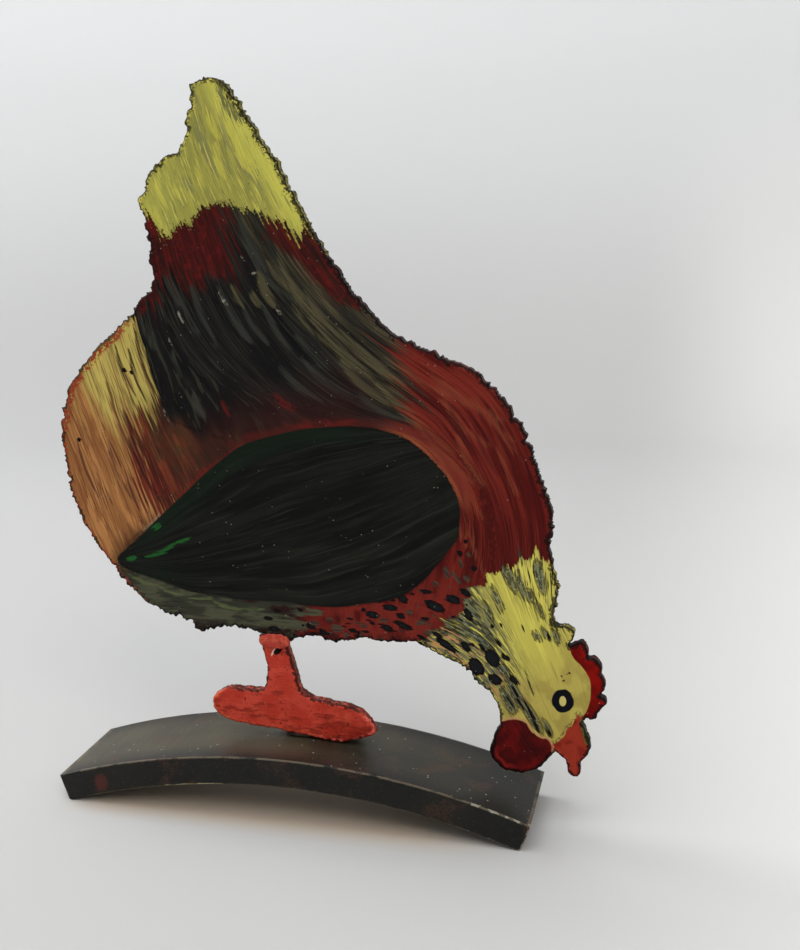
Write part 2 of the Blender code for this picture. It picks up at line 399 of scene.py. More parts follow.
WING = [(-98, 127.5), (-92, 134), (-85, 140), (-70, 154), (-57, 166), (-45, 177), (-28, 190), (-15, 195),
        (0, 199.5), (15, 202), (30, 203), (45, 202), (60, 197), (72, 187.5), (80, 178), (85, 167),
        (85.5, 158), (84.5, 150), (80, 142.5), (70, 129.5), (60, 120), (50, 115), (40, 112.5),
        (25, 109.5), (10, 109), (-10, 110), (-30, 110), (-45, 111.5), (-58, 112.5), (-72, 116.5),
        (-85, 119.8), (-94, 123)]
NECK = [(52, 84), (60, 93), (66, 95), (70, 97.5), (71, 101), (75, 101), (78, 104), (75, 107), (80, 108),
        (84, 108.5), (86, 111), (88, 113), (86.5, 118), (91, 119.5), (88, 124), (93, 125), (98, 125),
        (99, 128), (98.5, 131), (101, 133), (103, 131.5), (105, 133.5), (109, 137), (110, 134),
        (114, 139), (116, 142), (118, 140), (120, 141), (123.5, 147), (126, 142), (129, 139),
        (140, 136), (200, 136), (200, 0), (60, 0)]
COMB = [(139, 98.5), (140.1, 97), (141, 93.6), (142.7, 90.8), (145.3, 88.6), (148, 85.3), (150.1, 81.6),
        (150.8, 78.5), (150.9, 74), (150.8, 70.9), (150, 67), (148.9, 63.7), (147.2, 61.6),
        (145.6, 59.8), (147.5, 58), (152, 56.5), (175, 55), (175, 105), (150, 108), (143, 102)]
BEAK = [(145, 62.6), (147.2, 60), (150, 58), (175, 54), (175, 0), (128, 0), (128, 30), (132.6, 38),
        (133, 42), (132, 45), (135.3, 46.7), (138.2, 49.8), (139.8, 54), (142.4, 56.5), (143.8, 59.7)]
WATTLE = [(102, 53.5), (107, 55), (111.4, 56.4), (115, 56.8), (118, 56.2), (119.9, 54.6),
          (120.8, 52.4), (122.4, 50.7), (124.9, 49.1), (127.3, 47.8), (129.7, 48), (131.4, 46.6),
          (132.4, 44), (132.4, 41.5), (133.5, 38), (133, 15), (95, 15), (95, 50)]
BEAK_GREEN = [(145.8, 60), (146.6, 57), (147, 53.5), (148.8, 47.4), (151, 45.6), (158, 46), (156, 62)]

# Guides for the brush: the strokes of one sweep run along and between the paths of its list.
BACK_SWEEP = [
    [(-92, 345), (-82, 300), (-75, 262), (-67, 228), (-54, 198), (-38, 176)],
    [(-66, 362), (-55, 310), (-40, 266), (-20, 234), (8, 212), (38, 205), (64, 196), (82, 176),
     (87, 150), (84, 126)],
    [(-44, 372), (-28, 322), (-6, 280), (22, 248), (52, 224), (78, 205), (96, 178), (104, 150), (106, 120)],
    [(-18, 380), (4, 328), (24, 290), (48, 260), (74, 246), (98, 233), (116, 213), (127, 188),
     (135, 160), (136, 128)],
]
RUMP_SWEEP = [
    [(-158, 230), (-146, 190), (-128, 142), (-110, 96)],
    [(-122, 262), (-112, 220), (-96, 174), (-80, 126)],
    [(-90, 272), (-82, 236), (-66, 196), (-44, 152)],
    [(-66, 280), (-58, 240), (-40, 200), (-16, 166)],
]
NECK_SWEEP = [
    [(138, 160), (137, 122), (144, 104), (154, 84), (156, 62), (150, 42)],
    [(100, 160), (106, 130), (118, 100), (130, 74), (138, 52), (141, 38)],
    [(30, 116), (64, 112), (86, 103), (103, 90), (118, 70), (132, 46)],
    [(10, 90), (48, 92), (72, 86), (90, 72), (104, 56), (118, 36)],
]
WING_SWEEP = [
    [(-102, 130), (-86, 143), (-57, 172), (-28, 197), (0, 206), (30, 210), (60, 206), (84, 196)],
    [(-101, 127), (-66, 133), (-24, 147), (20, 164), (60, 180), (90, 192)],
    [(-98, 123), (-70, 111), (-30, 105), (14, 106), (48, 116), (74, 132), (94, 148)],
]
TAIL_SWEEP = [
    [(-92, 356), (-82, 320), (-68, 280)],
    [(-52, 380), (-40, 335), (-18, 285)],
    [(-20, 382), (6, 330), (34, 276)],
]

# Blots on the speckled breast: x, z, length, width and turn in degrees. These are the larger
# ones, and scattered() adds many small ones between them.
DARK_BLOTS = [
    (82, 117.5, 8.5, 4.6, -10), (73, 113.3, 12, 5.2, -24), (56.5, 116, 6.5, 4, -38),
    (50, 111, 7.5, 3.8, 0), (55.5, 107, 5.5, 3.2, -8), (56.5, 102, 10.5, 3.6, -20),
    (48.5, 100, 7.5, 3.4, -16), (41, 106.5, 8, 3.8, -10), (68, 106.5, 4.6, 2, -8),
    (88.5, 121.5, 7, 3.4, -28), (68.5, 120.5, 6, 2.4, -4), (66, 96.5, 5, 2.2, -25),
    (74, 98.5, 6.5, 2.6, -32), (79, 93.5, 14, 3.8, -33), (88.5, 93.5, 7.5, 3.4, -36),
    (90, 110, 7.5, 4, -57), (102, 88.2, 10.2, 7.2, -62), (94, 83.2, 10.6, 7, -58),
    (103.4, 77.2, 7.6, 5.4, -38), (113, 77.8, 7.4, 3.2, -42), (108.5, 89.4, 5.8, 3.2, -36),
    (105, 96.4, 5.4, 1.8, -52), (96.8, 93.6, 5, 2, -58), (101.8, 105, 3, 2.2, -50),
    (-10, 105, 5.4, 2.4, -5), (-15, 100.5, 6, 2.6, -5), (-12, 95, 6.5, 3.4, -4),
    (8, 97.5, 5, 2.4, -10), (15, 95, 5.5, 2.2, -6), (30, 97.5, 5, 2.4, -12),
    (88.5, 147.5, 2.6, 2.2, 0), (85.5, 141.5, 3.6, 2.2, -65), (93, 134.5, 3.2, 2.6, 0),
    (44, 114, 3.2, 2.4, 0), (36, 108.8, 3, 2.2, 0), (2.5, 106, 2.6, 1.8, 0),
    (106.3, 106, 2.8, 1.6, -60), (117, 105.3, 3.6, 1, -70), (129.6, 102, 4.6, 1.4, -58),
    (139.8, 83.4, 2.4, 1.1, 20), (137.2, 79.3, 1.4, 1.1, 0), (141, 81, 1.3, 1, 0), (136.6, 81.8, 1.3, 1, 0),
    (121.5, 61.5, 15, 1.6, -63), (111.5, 66, 10, 1.5, -60), (113.5, 72, 9, 1.4, -56), (125, 53.5, 7, 2, -60),
    (131, 51, 5, 1.8, -62), (116.6, 65, 7, 1.3, -58), (120.6, 77, 16, 1, -70),
    (-87.8, 227.8, 2.8, 2.2, -20), (-83.8, 226.6, 2.4, 1.8, -20), (-115.5, 190.8, 2.8, 2.4, 0),
]
PALE_BLOTS = [
    (60, 109.2, 4, 2.8, 0), (18, 102, 4, 2.6, 0), (10, 99.5, 5.4, 3.4, -6), (22, 98, 7, 4, -8),
    (27, 94.6, 4, 2.6, 0), (36, 100.6, 5, 2.4, -10), (46, 104, 7, 2.2, 10), (66, 104.4, 6, 2.6, 24),
    (70, 99.2, 6, 3.4, 4), (79, 131, 7, 3.4, -80), (83.5, 129, 8, 2.6, -52), (86, 136.5, 6, 2, -75),
    (90, 141, 4.6, 2, -60), (89, 129, 4, 2.6, -20), (73.5, 125, 3.6, 2.8, 0), (88, 101, 9, 3.4, -36),
    (96, 97.5, 12, 4, -35), (88, 106, 8, 3.2, -40), (110, 131, 15, 4.4, -62), (104, 119.5, 11, 3, -66),
    (100, 112, 8, 2.4, -68), (116, 127, 12, 3.2, -74), (120, 122, 6, 3, -76), (125, 132, 15, 4.4, -76),
    (125.5, 115, 6, 1.8, -66), (114, 70, 15, 4.6, -58), (122, 59.4, 17, 4.2, -59), (110.5, 66.5, 13, 5, -64),
    (130, 53.8, 7.4, 2.6, -62), (107.5, 82.4, 6, 4.6, -40), (115, 143, 6, 1.8, -74), (100, 101, 8, 1.6, -50),
    (124, 101.6, 5, 2.6, -62), (128, 103.2, 5, 2, -55), (133, 102, 6, 2.4, -68),
]


# Single strokes that stand out: from one place to another, and width.
GREY_STROKES = [
    (-65, 287, -50, 253, 4.8), (-67, 268, -61, 250, 2.8), (-49, 272, -37, 240, 3.8),
    (-35.5, 270, -18, 242, 5.0), (-13, 264, 2, 238, 3.2), (-15.5, 281, 6, 262, 2.2),
    (-54, 262, -45, 246, 2.6), (-79, 259, -69, 237, 2.8), (-61, 238, -56, 224, 2.2),
    (-23, 304, -9, 277, 4.4), (-51, 217, -44, 203, 3.6), (4, 247, 20, 230, 2.8),
    (-72, 250, -65, 230, 2.0), (6, 236, 34, 216, 3.6), (-6, 232, 18, 214, 3.2),
    (-42, 288, -37, 274, 2.4), (-24, 262, -10, 242, 2.4), (34, 220, 58, 206, 3.0),
]
OLIVE_STROKES = [
    (-28.5, 271, -22, 260, 3.0), (-18.5, 268, -13.5, 260, 3.4), (-14.5, 277, -5.5, 260, 4.4),
    (-4.5, 287, 9, 264, 3.2), (0, 274, 20, 252, 2.6), (-10, 283, 2, 268, 2.2), (8, 269, 36, 240, 3.0),
    (12, 256, 44, 227, 4.0), (2, 262, 24, 240, 2.8), (26, 250, 60, 223, 3.2), (24, 238, 52, 213, 4.0),
    (44, 225, 74, 202, 3.6), (62, 213, 90, 186, 3.2), (34, 244, 54, 231, 2.2), (52, 216, 78, 196, 3.0),
]
GLINTS = [
    (-35.2, 269.4, -30.4, 260.5, 1.3), (-57, 258.4, -54, 252, 1.3), (-63, 246, -59.6, 237.6, 0.8),
    (-67.6, 209, -64, 201.4, 0.8), (-22.8, 285.6, -20.4, 282.4, 1.0), (-19.8, 276.2, -13.6, 277.4, 0.9),
    (-5.2, 259.4, -3, 256.8, 1.3), (-36, 97.4, -32.4, 96.2, 1.5), (-86, 141.5, -70, 156.5, 1.3),
]
SHADE_STROKES = [
    (-37.5, 271, -25, 245, 3.4), (-62.5, 287, -51, 264, 2.6), (-52.5, 268, -39, 242, 3.2),
    (-56, 261, -49, 249, 2.6), (-1.5, 250, 14, 233, 2.6), (-64, 262, -59, 245, 2.6),
    (-66, 277, -58, 261, 2.0), (-81, 252, -69.5, 212, 2.2), (-85, 240, -74, 208, 2.0),
    (-92, 242, -82, 214, 1.6), (11, 251, 27, 235, 2.2), (34, 238.5, 59, 220, 2.4),
    (52, 227, 67, 215, 2.2), (20, 235, 36, 220, 2.2), (80, 215, 94, 191, 2.6),
    (92, 206, 105, 180, 2.4), (66, 205, 82, 189, 2.0), (60, 204, 72, 195, 1.8),
]
EMBER_STROKES = [
    (58, 214, 84, 191, 3.4), (64, 208, 92, 177, 4.0), (76, 217, 100, 195, 2.6), (84, 200, 98, 175, 3.2),
    (86, 184, 98, 158, 2.4), (100, 214, 112, 193, 2.2), (88, 174, 98, 130, 1.7), (50, 237, 90, 217, 2.8),
    (70, 232, 106, 208, 3.0), (92, 218, 112, 198, 2.0), (104, 196, 114, 172, 2.0), (84, 160, 90, 144, 1.8),
]
RED_STROKES = [(-62, 162, -44, 180, 4.4), (-50, 175, -26, 192, 3.4), (-30, 190, 4, 200, 2.6),
               (0, 202, 34, 206, 3.0), (-8, 218, 4, 210, 2.4), (-36, 214, -31, 205, 2.4)]
GREEN_STROKES = [(-93, 127, -87, 129.4, 2.8), (-82, 129.4, -64, 138, 2.0), (-78, 144.8, -72, 148.6, 2.2),
                 (-64, 138.5, -56, 141, 1.5)]
TAIL_LIGHTS = [
    (-37, 352, -30.5, 339, 3.6), (-28, 348, -12, 323, 3.8), (-16.5, 351, -10, 337, 3.4),
    (-33.5, 339, -29, 321, 4.0), (-24, 334, -10, 320, 2.6), (-58.5, 322, -53, 312, 3.0),
    (-48, 313, -44.6, 303, 2.4), (-6, 323, 9, 300, 3.0), (-12, 332, 1, 311, 2.6),
    (-70, 312, -61, 297, 2.2), (-66, 322, -58, 306, 2.2), (-44, 332, -39, 316, 2.6),
]
TAIL_SHADES = [
    (-43, 351, -32, 320, 3.4), (-31, 353, -21, 327, 3.0), (-25, 332, -10, 317, 2.8),
    (-39, 345, -35, 328, 2.4), (-52, 323, -45, 315, 2.2), (-21, 349, -13, 333, 3.4),
    (-34, 341, -27, 324, 2.2), (-44, 364, -40, 352, 2.0), (-18, 330, -8, 314, 2.2),
    (2, 312, 10, 298, 1.8),
]
TAIL_SMUDGES = [(-31.5, 365, -23, 351, 3.4), (-27, 357, -19, 347, 3.8), (-27, 368, -19, 358, 1.8)]
RUMP_LIGHTS = [
    (-87, 254, -67, 203, 4.2), (-95, 246, -76, 201, 3.8), (-101, 241, -86, 208, 3.0),
    (-109, 233, -92, 198, 3.0), (-91, 251, -81, 225, 2.4), (-113, 223, -99, 192, 2.4),
    (-110, 187, -98, 158, 2.6), (-112, 161, -103, 134, 2.8), (-104, 200, -90, 168, 2.4),
    (-118, 205, -110, 180, 2.2), (-98, 168, -84, 142, 2.8), (-90, 154, -78, 141, 2.4),
    (-106, 150, -99, 128, 2.8), (-83, 164, -74, 150, 2.6),
]
RUMP_DARKS = [
    (-96, 214, -78, 172, 2.4), (-90, 208, -72, 164, 3.0), (-104, 208, -84, 166, 2.0),
    (-84, 192, -69, 156, 2.8), (-99, 186, -82, 154, 2.0), (-109, 182, -95, 152, 1.8),
    (-87, 224, -80, 204, 1.8), (-116, 190, -106, 160, 1.8), (-92, 178, -76, 150, 2.2),
    (-78, 186, -66, 160, 2.6), (-98, 226, -92, 206, 1.6),
]
BELLY_STROKES = [(-92, 119.5, -74, 113.6, 1.5), (-77, 114.6, -59, 109, 1.9), (-61, 109.4, -45, 109.5, 1.4),
                 (-49, 109.5, -29, 104, 1.9), (-30, 104.6, -16, 106, 1.2)]
STROKE_BEND = 0.06


def stroke_field(points, strokes):
    """Millimetres inside the nearest single stroke, counted negative outside them all.
    Each stroke bends a little and is pointed at both ends, as one pull of a brush is."""
    field = np.full(len(points), -20.0)
    for ax, az, bx, bz, width in strokes:
        start, end = np.array([ax, az]), np.array([bx, bz])
        along = end - start
        side = np.array([along[1], -along[0]])
        path = smooth([start, (start + end) / 2 + STROKE_BEND * side, end], pieces=3)
        gap, place = nearest(points, path)
        share = np.clip(place / math.hypot(*along), 0, 1)
        field = np.maximum(field, width / 2 * np.sqrt(4 * share * (1 - share)) - gap)
    return field


def blot_field(points, blots, scatter):
    """Millimetres inside the nearest blot, counted negative outside every blot."""
    field = np.full(len(points), -20.0)
    for x, z, length, width, turn in list(blots) + scatter:
        c, s = math.cos(math.radians(turn)), math.sin(math.radians(turn))
        dx, dz = points[:, 0] - x, points[:, 1] - z
        reach = np.hypot((dx * c + dz * s) / (length / 2), (dz * c - dx * s) / (width / 2))
        field = np.maximum(field, (1 - reach) * width / 2)
    return field


def scattered(count, seed, size):
    """Small blots over the lower breast, denser towards its bottom edge."""
    chance = np.random.default_rng(seed)
    blots = []
    for _ in range(count):
        x = chance.uniform(2, 92)
        z = 93 + chance.uniform(0, 1) ** 1.6 * (14 + 0.36 * max(0, x - 20))
        blots.append((x, z, size * chance.uniform(0.7, 1.5), size * chance.uniform(0.4, 0.7),
                      -4 - 0.4 * max(0, x - 30)))
    return blots


def hen_paint(points):
    """Everything that the hen's paint needs to know at each place on the plate."""
    regions = {"tail": TAIL, "band": RED_BAND, "edge": RED_EDGE, "rump": RUMP, "rump_red": RUMP_RED,
               "breast": BREAST, "belly": BELLY, "neck": NECK, "comb": COMB, "beak": BEAK,
               "wattle": WATTLE, "green": BEAK_GREEN}
    values = {key: depth_in(points, np.array(path, float)) for key, path in regions.items()}
    values["wing"] = depth_in(points, smooth(WING, closed=True))
    sweeps = {"back": BACK_SWEEP, "rump": RUMP_SWEEP, "neck": NECK_SWEEP, "wing": WING_SWEEP,
              "tail": TAIL_SWEEP}
    for key, guides in sweeps.items():
        values["flow_" + key] = sweep_field(points, guides)
    paint = values["flow_back"]
    for key in ("wing", "rump", "neck", "tail"):
        paint = np.where(values[key][:, None] > 0, values["flow_" + key], paint)
    values["flow_paint"] = paint
    singles = {"grey": GREY_STROKES, "olive": OLIVE_STROKES, "glint": GLINTS, "shade": SHADE_STROKES,
               "ember": EMBER_STROKES, "red_line": RED_STROKES, "sprout": GREEN_STROKES,
               "tail_light": TAIL_LIGHTS, "tail_shade": TAIL_SHADES, "smudge": TAIL_SMUDGES,
               "rump_light": RUMP_LIGHTS, "rump_dark": RUMP_DARKS, "belly_line": BELLY_STROKES}
    for key, strokes in singles.items():
        values[key] = stroke_field(points, strokes)
    values["dark"] = blot_field(points, DARK_BLOTS, scattered(42, 3, 2.5))
    values["pale"] = blot_field(points, PALE_BLOTS, scattered(34, 4, 2.4))
    return values


# ---------------------------------------------------------------- shader building
class Shader:
    """One material, and short calls that add nodes to it and hand back their outputs."""

    def __init__(self, name):
        self.material = bpy.data.materials.new(name)
        self.material.use_nodes = True
        self.tree = self.material.node_tree
        self.surface = self.tree.nodes["Principled BSDF"]
        self.place = self.drawing_place()

    def node(self, kind, inputs=None, **settings):
        made = self.tree.nodes.new("ShaderNode" + kind)
        for key, value in settings.items():
            setattr(made, key, value)
        for key, value in (inputs or {}).items():
            self.feed(made.inputs[key], value)
        return made

    def feed(self, socket, value):
        if isinstance(value, bpy.types.NodeSocket):
            self.tree.links.new(value, socket)
        elif socket.type == "RGBA":
            socket.default_value = linear(*value)
        else:
            socket.default_value = value

    def drawing_place(self):
        """The shaded place in drawing millimetres."""
        where = self.node("TexCoord").outputs["Object"]
        made = self.node("Mapping", {"Vector": where, "Location": (-MIDDLE / MM, 0, 0),
                                     "Scale": (1 / MM,) * 3})
        return made.outputs["Vector"]

    def vector(self, operation, *values):
        made = self.node("VectorMath", operation=operation)
        for index, value in enumerate(values):
            self.feed(made.inputs[index], value)
        return made.outputs[0]

    def calc(self, operation, *values):
        made = self.node("Math", operation=operation)
        for index, value in enumerate(values):
            self.feed(made.inputs[index], value)
        return made.outputs[0]

    def value(self, name):
        return self.node("Attribute", attribute_name=name).outputs["Fac"]

    def flow(self, name):
        """Brush coordinates, made to waver a little as a hand does."""
        straight = self.node("Attribute", attribute_name=name).outputs["Vector"]
        for size, reach in ((40, 4.0), (12, 0.6)):
            cloud = self.cloud(self.place, size, 1.0)
            parts = self.node("SeparateColor", {0: cloud.outputs["Color"]}).outputs
            waver = self.node("CombineXYZ", {0: parts[0], 1: parts[1]}).outputs[0]
            straight = self.vector("MULTIPLY_ADD", waver, (reach, reach, 0), straight)
        return straight

    def axis(self, vector, name):
        return self.node("SeparateXYZ", {0: vector}).outputs[name]

    def mix(self, share, first, second):
        made = self.node("Mix", {0: share, 6: first, 7: second}, data_type="RGBA")
        return made.outputs[2]

    def step(self, value, low, high):
        """0 below low, 1 above high, and a smooth rise between them."""
        made = self.node("MapRange", {"Value": value, "From Min": low, "From Max": high},
                         interpolation_type="SMOOTHSTEP")
        return made.outputs["Result"]

    def noise(self, place, size, detail=2.0, seed=0.0, stretch=(1, 1, 1)):
        """Smooth noise around 0.5 with lumps of the given size in millimetres."""
        return self.cloud(place, size, detail, seed, stretch).outputs["Fac"]

    def cloud(self, place, size, detail, seed=0.0, stretch=(1, 1, 1)):
        """The noise node itself. Its own mapping holds the size, so that no other node is needed."""
        made = self.node("TexNoise", {"Vector": place, "Scale": 1.0, "Detail": detail})
        made.texture_mapping.scale = tuple(1 / (size * s) for s in stretch)
        made.texture_mapping.translation = (seed, seed * 1.7, seed * 0.6)
        return made

    def strokes(self, flow, length, width, seed, detail=2.0):
        """Noise drawn out along a flow, as bristles leave it."""
        return self.noise(flow, 1.0, detail, seed, (length, width, 1))

    def both(self, first, second):
        """The product of two masks: high where both of them are."""
        return self.calc("MULTIPLY", first, second)

    def not_(self, value):
        return self.calc("SUBTRACT", 1.0, value)

    def jag(self, value, noise, amount):
        """A distance moved in and out by noise, so that its border turns ragged."""
        return self.calc("MULTIPLY_ADD", self.calc("SUBTRACT", noise, 0.5), amount, value)

    def streak(self, colour, tone, noise, share, soft=0.05, strength=1.0):
        """A tone laid over a colour where the noise is above a level."""
        mask = self.step(noise, share, share + soft)
        return self.mix(self.both(mask, strength), colour, tone)

    def touch(self, colour, tone, name, noise, amount, soft, strength):
        """Lays the single strokes stored under a name over a colour, with ragged soft edges."""
        mask = self.step(self.jag(self.value(name), noise, amount), -soft, soft)
        return self.mix(self.both(mask, strength), colour, tone)

    def finish(self, colour, roughness, bumps, shine=0.3):
        """Joins colour, roughness and bumps, given as (height, millimetres), to the surface."""
        normal = None
        for height, depth in bumps:
            made = self.node("Bump", {"Strength": 1.0, "Distance": depth * MM, "Height": height})
            if normal is not None:
                self.feed(made.inputs["Normal"], normal)
            normal = made.outputs["Normal"]
        self.feed(self.surface.inputs["Base Color"], colour)
        self.feed(self.surface.inputs["Roughness"], roughness)
        self.feed(self.surface.inputs["Normal"], normal)
        self.surface.inputs["Specular IOR Level"].default_value = shine
        return self.material


def hen_material():
    """Hand-brushed enamel, laid region over region in the order a painter would."""
    s = Shader("hen_enamel")
    sweeps = ("back", "rump", "neck", "wing", "tail")
    back, rump, neck, wing, slant = (s.flow("flow_" + key) for key in sweeps)
    x, z = s.axis(s.place, "X"), s.axis(s.place, "Z")
    # Mantle: near-black with grey and olive streaks, lighter in one broad band.
    long_back = s.strokes(back, 50, 4.0, 1.0)
    fine_back = s.strokes(back, 34, 1.3, 2.0)
    wide_back = s.strokes(back, 80, 9, 3.0)
    colour = s.streak((17, 16, 16), (34, 33, 29), long_back, 0.42, 0.24)
    colour = s.streak(colour, (10, 10, 10), fine_back, 0.5, 0.2, 0.6)
    centre = s.calc("MULTIPLY_ADD", z, 0.62, s.calc("MULTIPLY", x, 0.78))
    sweep = s.calc("MULTIPLY", s.step(centre, 158, 182), s.not_(s.step(centre, 194, 222)))
    sweep = s.both(sweep, s.step(z, 200, 224))
    sweep = s.both(sweep, s.step(s.jag(wide_back, fine_back, 0.4), 0.3, 0.62))
    colour = s.mix(s.both(sweep, 0.8), colour, (60, 54, 40))
    colour = s.touch(colour, (48, 49, 44), "grey", fine_back, 5.0, 0.7, 0.85)
    colour = s.touch(colour, (84, 78, 54), "olive", fine_back, 5.0, 0.7, 0.7)
    colour = s.touch(colour, (8, 8, 8), "shade", fine_back, 4.0, 0.6, 0.85)
    colour = s.streak(colour, (58, 57, 46), s.strokes(back, 24, 0.9, 61.0), 0.58, 0.05, 0.5)
    colour = s.streak(colour, (7, 7, 7), s.strokes(back, 24, 0.9, 62.0), 0.56, 0.05, 0.6)
    hair = s.step(s.strokes(back, 22, 1.0, 63.0), 0.54, 0.59)
    colour = s.mix(s.both(s.both(sweep, hair), 0.75), colour, (98, 90, 64))
    # Dark red creeps in just above the wing.
    near_wing = s.jag(s.value("wing"), long_back, 26)
    warm = s.both(s.step(near_wing, -34, -3), s.step(x, -66, -46))
    warm = s.both(warm, s.not_(s.step(x, 20, 60)))
    colour = s.mix(s.both(warm, 0.66), colour, (50, 22, 19))
    # Breast: muted crimson with warm streaks.
    red = s.streak((76, 15, 12), (98, 26, 19), long_back, 0.42, 0.24)
    red = s.streak(red, (58, 12, 10), s.strokes(back, 40, 2.2, 7.0), 0.5, 0.12, 0.8)
    bright = s.both(s.not_(s.step(x, 98, 122)), s.step(z, 150, 190))
    red = s.mix(s.both(bright, s.step(long_back, 0.38, 0.6)), red, (112, 37, 27))
    red = s.streak(red, (46, 11, 10), s.strokes(back, 26, 0.9, 67.0), 0.56, 0.06, 0.45)
    red = s.streak(red, (124, 46, 33), s.strokes(back, 22, 0.9, 68.0), 0.6, 0.05, 0.35)
    low_red = s.both(s.step(x, -6, 34), s.not_(s.step(z, 112, 136)))
    low_red = s.both(low_red, s.step(s.noise(s.place, 6.0, 3.0, 64.0), 0.3, 0.55))
    red = s.mix(s.both(low_red, 0.7), red, (118, 40, 31))
    breast = s.step(s.jag(s.value("breast"), s.strokes(back, 40, 2.6, 8.0), 50), -4, 8)
    colour = s.mix(breast, colour, red)
    colour = s.touch(colour, (128, 66, 43), "ember", s.strokes(back, 16, 0.9, 80.0), 9.0, 0.8, 0.48)
    colour = s.mix(s.both(s.both(breast, s.step(s.value("shade"), -1.0, 1.2)), 0.6), colour, (58, 18, 15))
    # Red band below the tail, and down the right edge.
    drag = s.strokes(back, 26, 2.4, 9.0)
    band = s.step(s.jag(s.value("band"), drag, 44), -3, 4)
    edge = s.step(s.jag(s.value("edge"), drag, 12), -1, 1.5)
    crimson = s.streak((54, 13, 11), (80, 19, 14), s.strokes(back, 18, 2.4, 10.0), 0.44, 0.2)
    crimson = s.streak(crimson, (98, 20, 17), s.noise(s.place, 4.0, 4.0, 65.0), 0.54, 0.1, 0.5)
    crimson = s.streak(crimson, (30, 22, 18), s.noise(s.place, 3.0, 4.0, 66.0), 0.57, 0.08, 0.5)
    crimson = s.streak(crimson, (30, 14, 12), drag, 0.56, 0.1, 0.8)
    colour = s.mix(s.both(s.calc("MAXIMUM", band, edge), 0.95), colour, crimson)
    colour = s.touch(colour, (150, 148, 134), "glint", s.noise(s.place, 1.4, 2.0, 44.0), 2.0, 0.4, 0.65)
    # Rump: ochre and olive yellow, with a red-brown patch next to the mantle.
    rump_long = s.strokes(rump, 44, 3.4, 11.0)
    rump_fine = s.strokes(rump, 28, 1.2, 12.0)
    ochre = s.streak((138, 91, 51), (158, 109, 64), rump_long, 0.42, 0.24)
    ochre = s.streak(ochre, (118, 68, 42), rump_fine, 0.52, 0.1, 0.6)
    olive = s.streak((160, 144, 75), (184, 168, 88), rump_long, 0.42, 0.16)
    olive = s.streak(olive, (104, 78, 48), s.strokes(rump, 22, 1.3, 70.0), 0.55, 0.06, 0.6)
    high = s.calc("MULTIPLY_ADD", x, 0.9, s.jag(z, rump_long, 76))
    straw = s.mix(s.step(high, 100, 140), ochre, olive)
    light_tone = s.mix(s.step(high, 100, 132), (176, 122, 72), (178, 164, 86))
    straw = s.touch(straw, light_tone, "rump_light", rump_fine, 6.0, 0.5, 0.8)
    straw = s.touch(straw, (74, 40, 32), "rump_dark", rump_fine, 6.0, 0.5, 0.75)
    straw = s.touch(straw, (46, 34, 22), "shade", rump_fine, 3.0, 0.4, 0.9)
    straw = s.streak(straw, (96, 54, 38), s.strokes(rump, 22, 0.8, 71.0), 0.57, 0.04, 0.7)
    straw = s.streak(straw, (190, 140, 88), s.strokes(rump, 20, 0.8, 72.0), 0.61, 0.04, 0.6)
    brown = s.streak((60, 17, 16), (92, 26, 22), rump_long, 0.44, 0.14)
    brown = s.streak(brown, (44, 22, 19), s.noise(s.place, 7.0, 3.0, 73.0), 0.5, 0.1, 0.7)
    brown = s.streak(brown, (120, 36, 32), s.strokes(rump, 16, 1.0, 74.0), 0.6, 0.05, 0.6)
    patch = s.step(s.jag(s.value("rump_red"), rump_fine, 46), -2, 3)
    straw = s.mix(s.both(patch, 0.92), straw, brown)
    straw = s.mix(s.both(s.step(x, -68, -44), 0.75), straw, (46, 23, 20))
    rump_mask = s.step(s.jag(s.value("rump"), s.strokes(rump, 18, 1.6, 15.0), 8), -0.6, 0.6)
    rump_soft = s.step(s.jag(s.value("rump"), long_back, 60), -9, 12)
    low_border = s.step(z, 200, 222)
    colour = s.mix(s.calc("ADD", s.both(rump_mask, low_border), s.both(rump_soft, s.not_(low_border))),
                   colour, straw)
    # Belly: olive grey under the wing.
    belly_long = s.noise(s.place, 1.0, 3.0, 16.0, (20, 20, 1.4))
    mottle = s.noise(s.place, 1.0, 4.0, 51.0, (15, 15, 4))
    olive_grey = s.streak((48, 49, 40), (72, 73, 56), mottle, 0.44, 0.14)
    olive_grey = s.streak(olive_grey, (34, 34, 29), belly_long, 0.54, 0.1, 0.6)
    fringe = s.both(s.both(s.step(x, -50, -20), 80.0), s.calc("SUBTRACT", mottle, 0.5))
    belly = s.jag(s.value("belly"), s.noise(s.place, 5.0, 3.0, 17.0), 26)
    belly = s.step(s.calc("ADD", belly, fringe), -4, 6)
    colour = s.mix(belly, colour, olive_grey)
    colour = s.touch(colour, (86, 94, 60), "belly_line", belly_long, 4.0, 0.4, 0.75)
    under = s.both(s.not_(s.step(z, 93, 99)), s.step(s.noise(s.place, 3.0, 2.0, 82.0), 0.38, 0.56))
    colour = s.mix(s.both(under, 0.75), colour, (34, 14, 12))
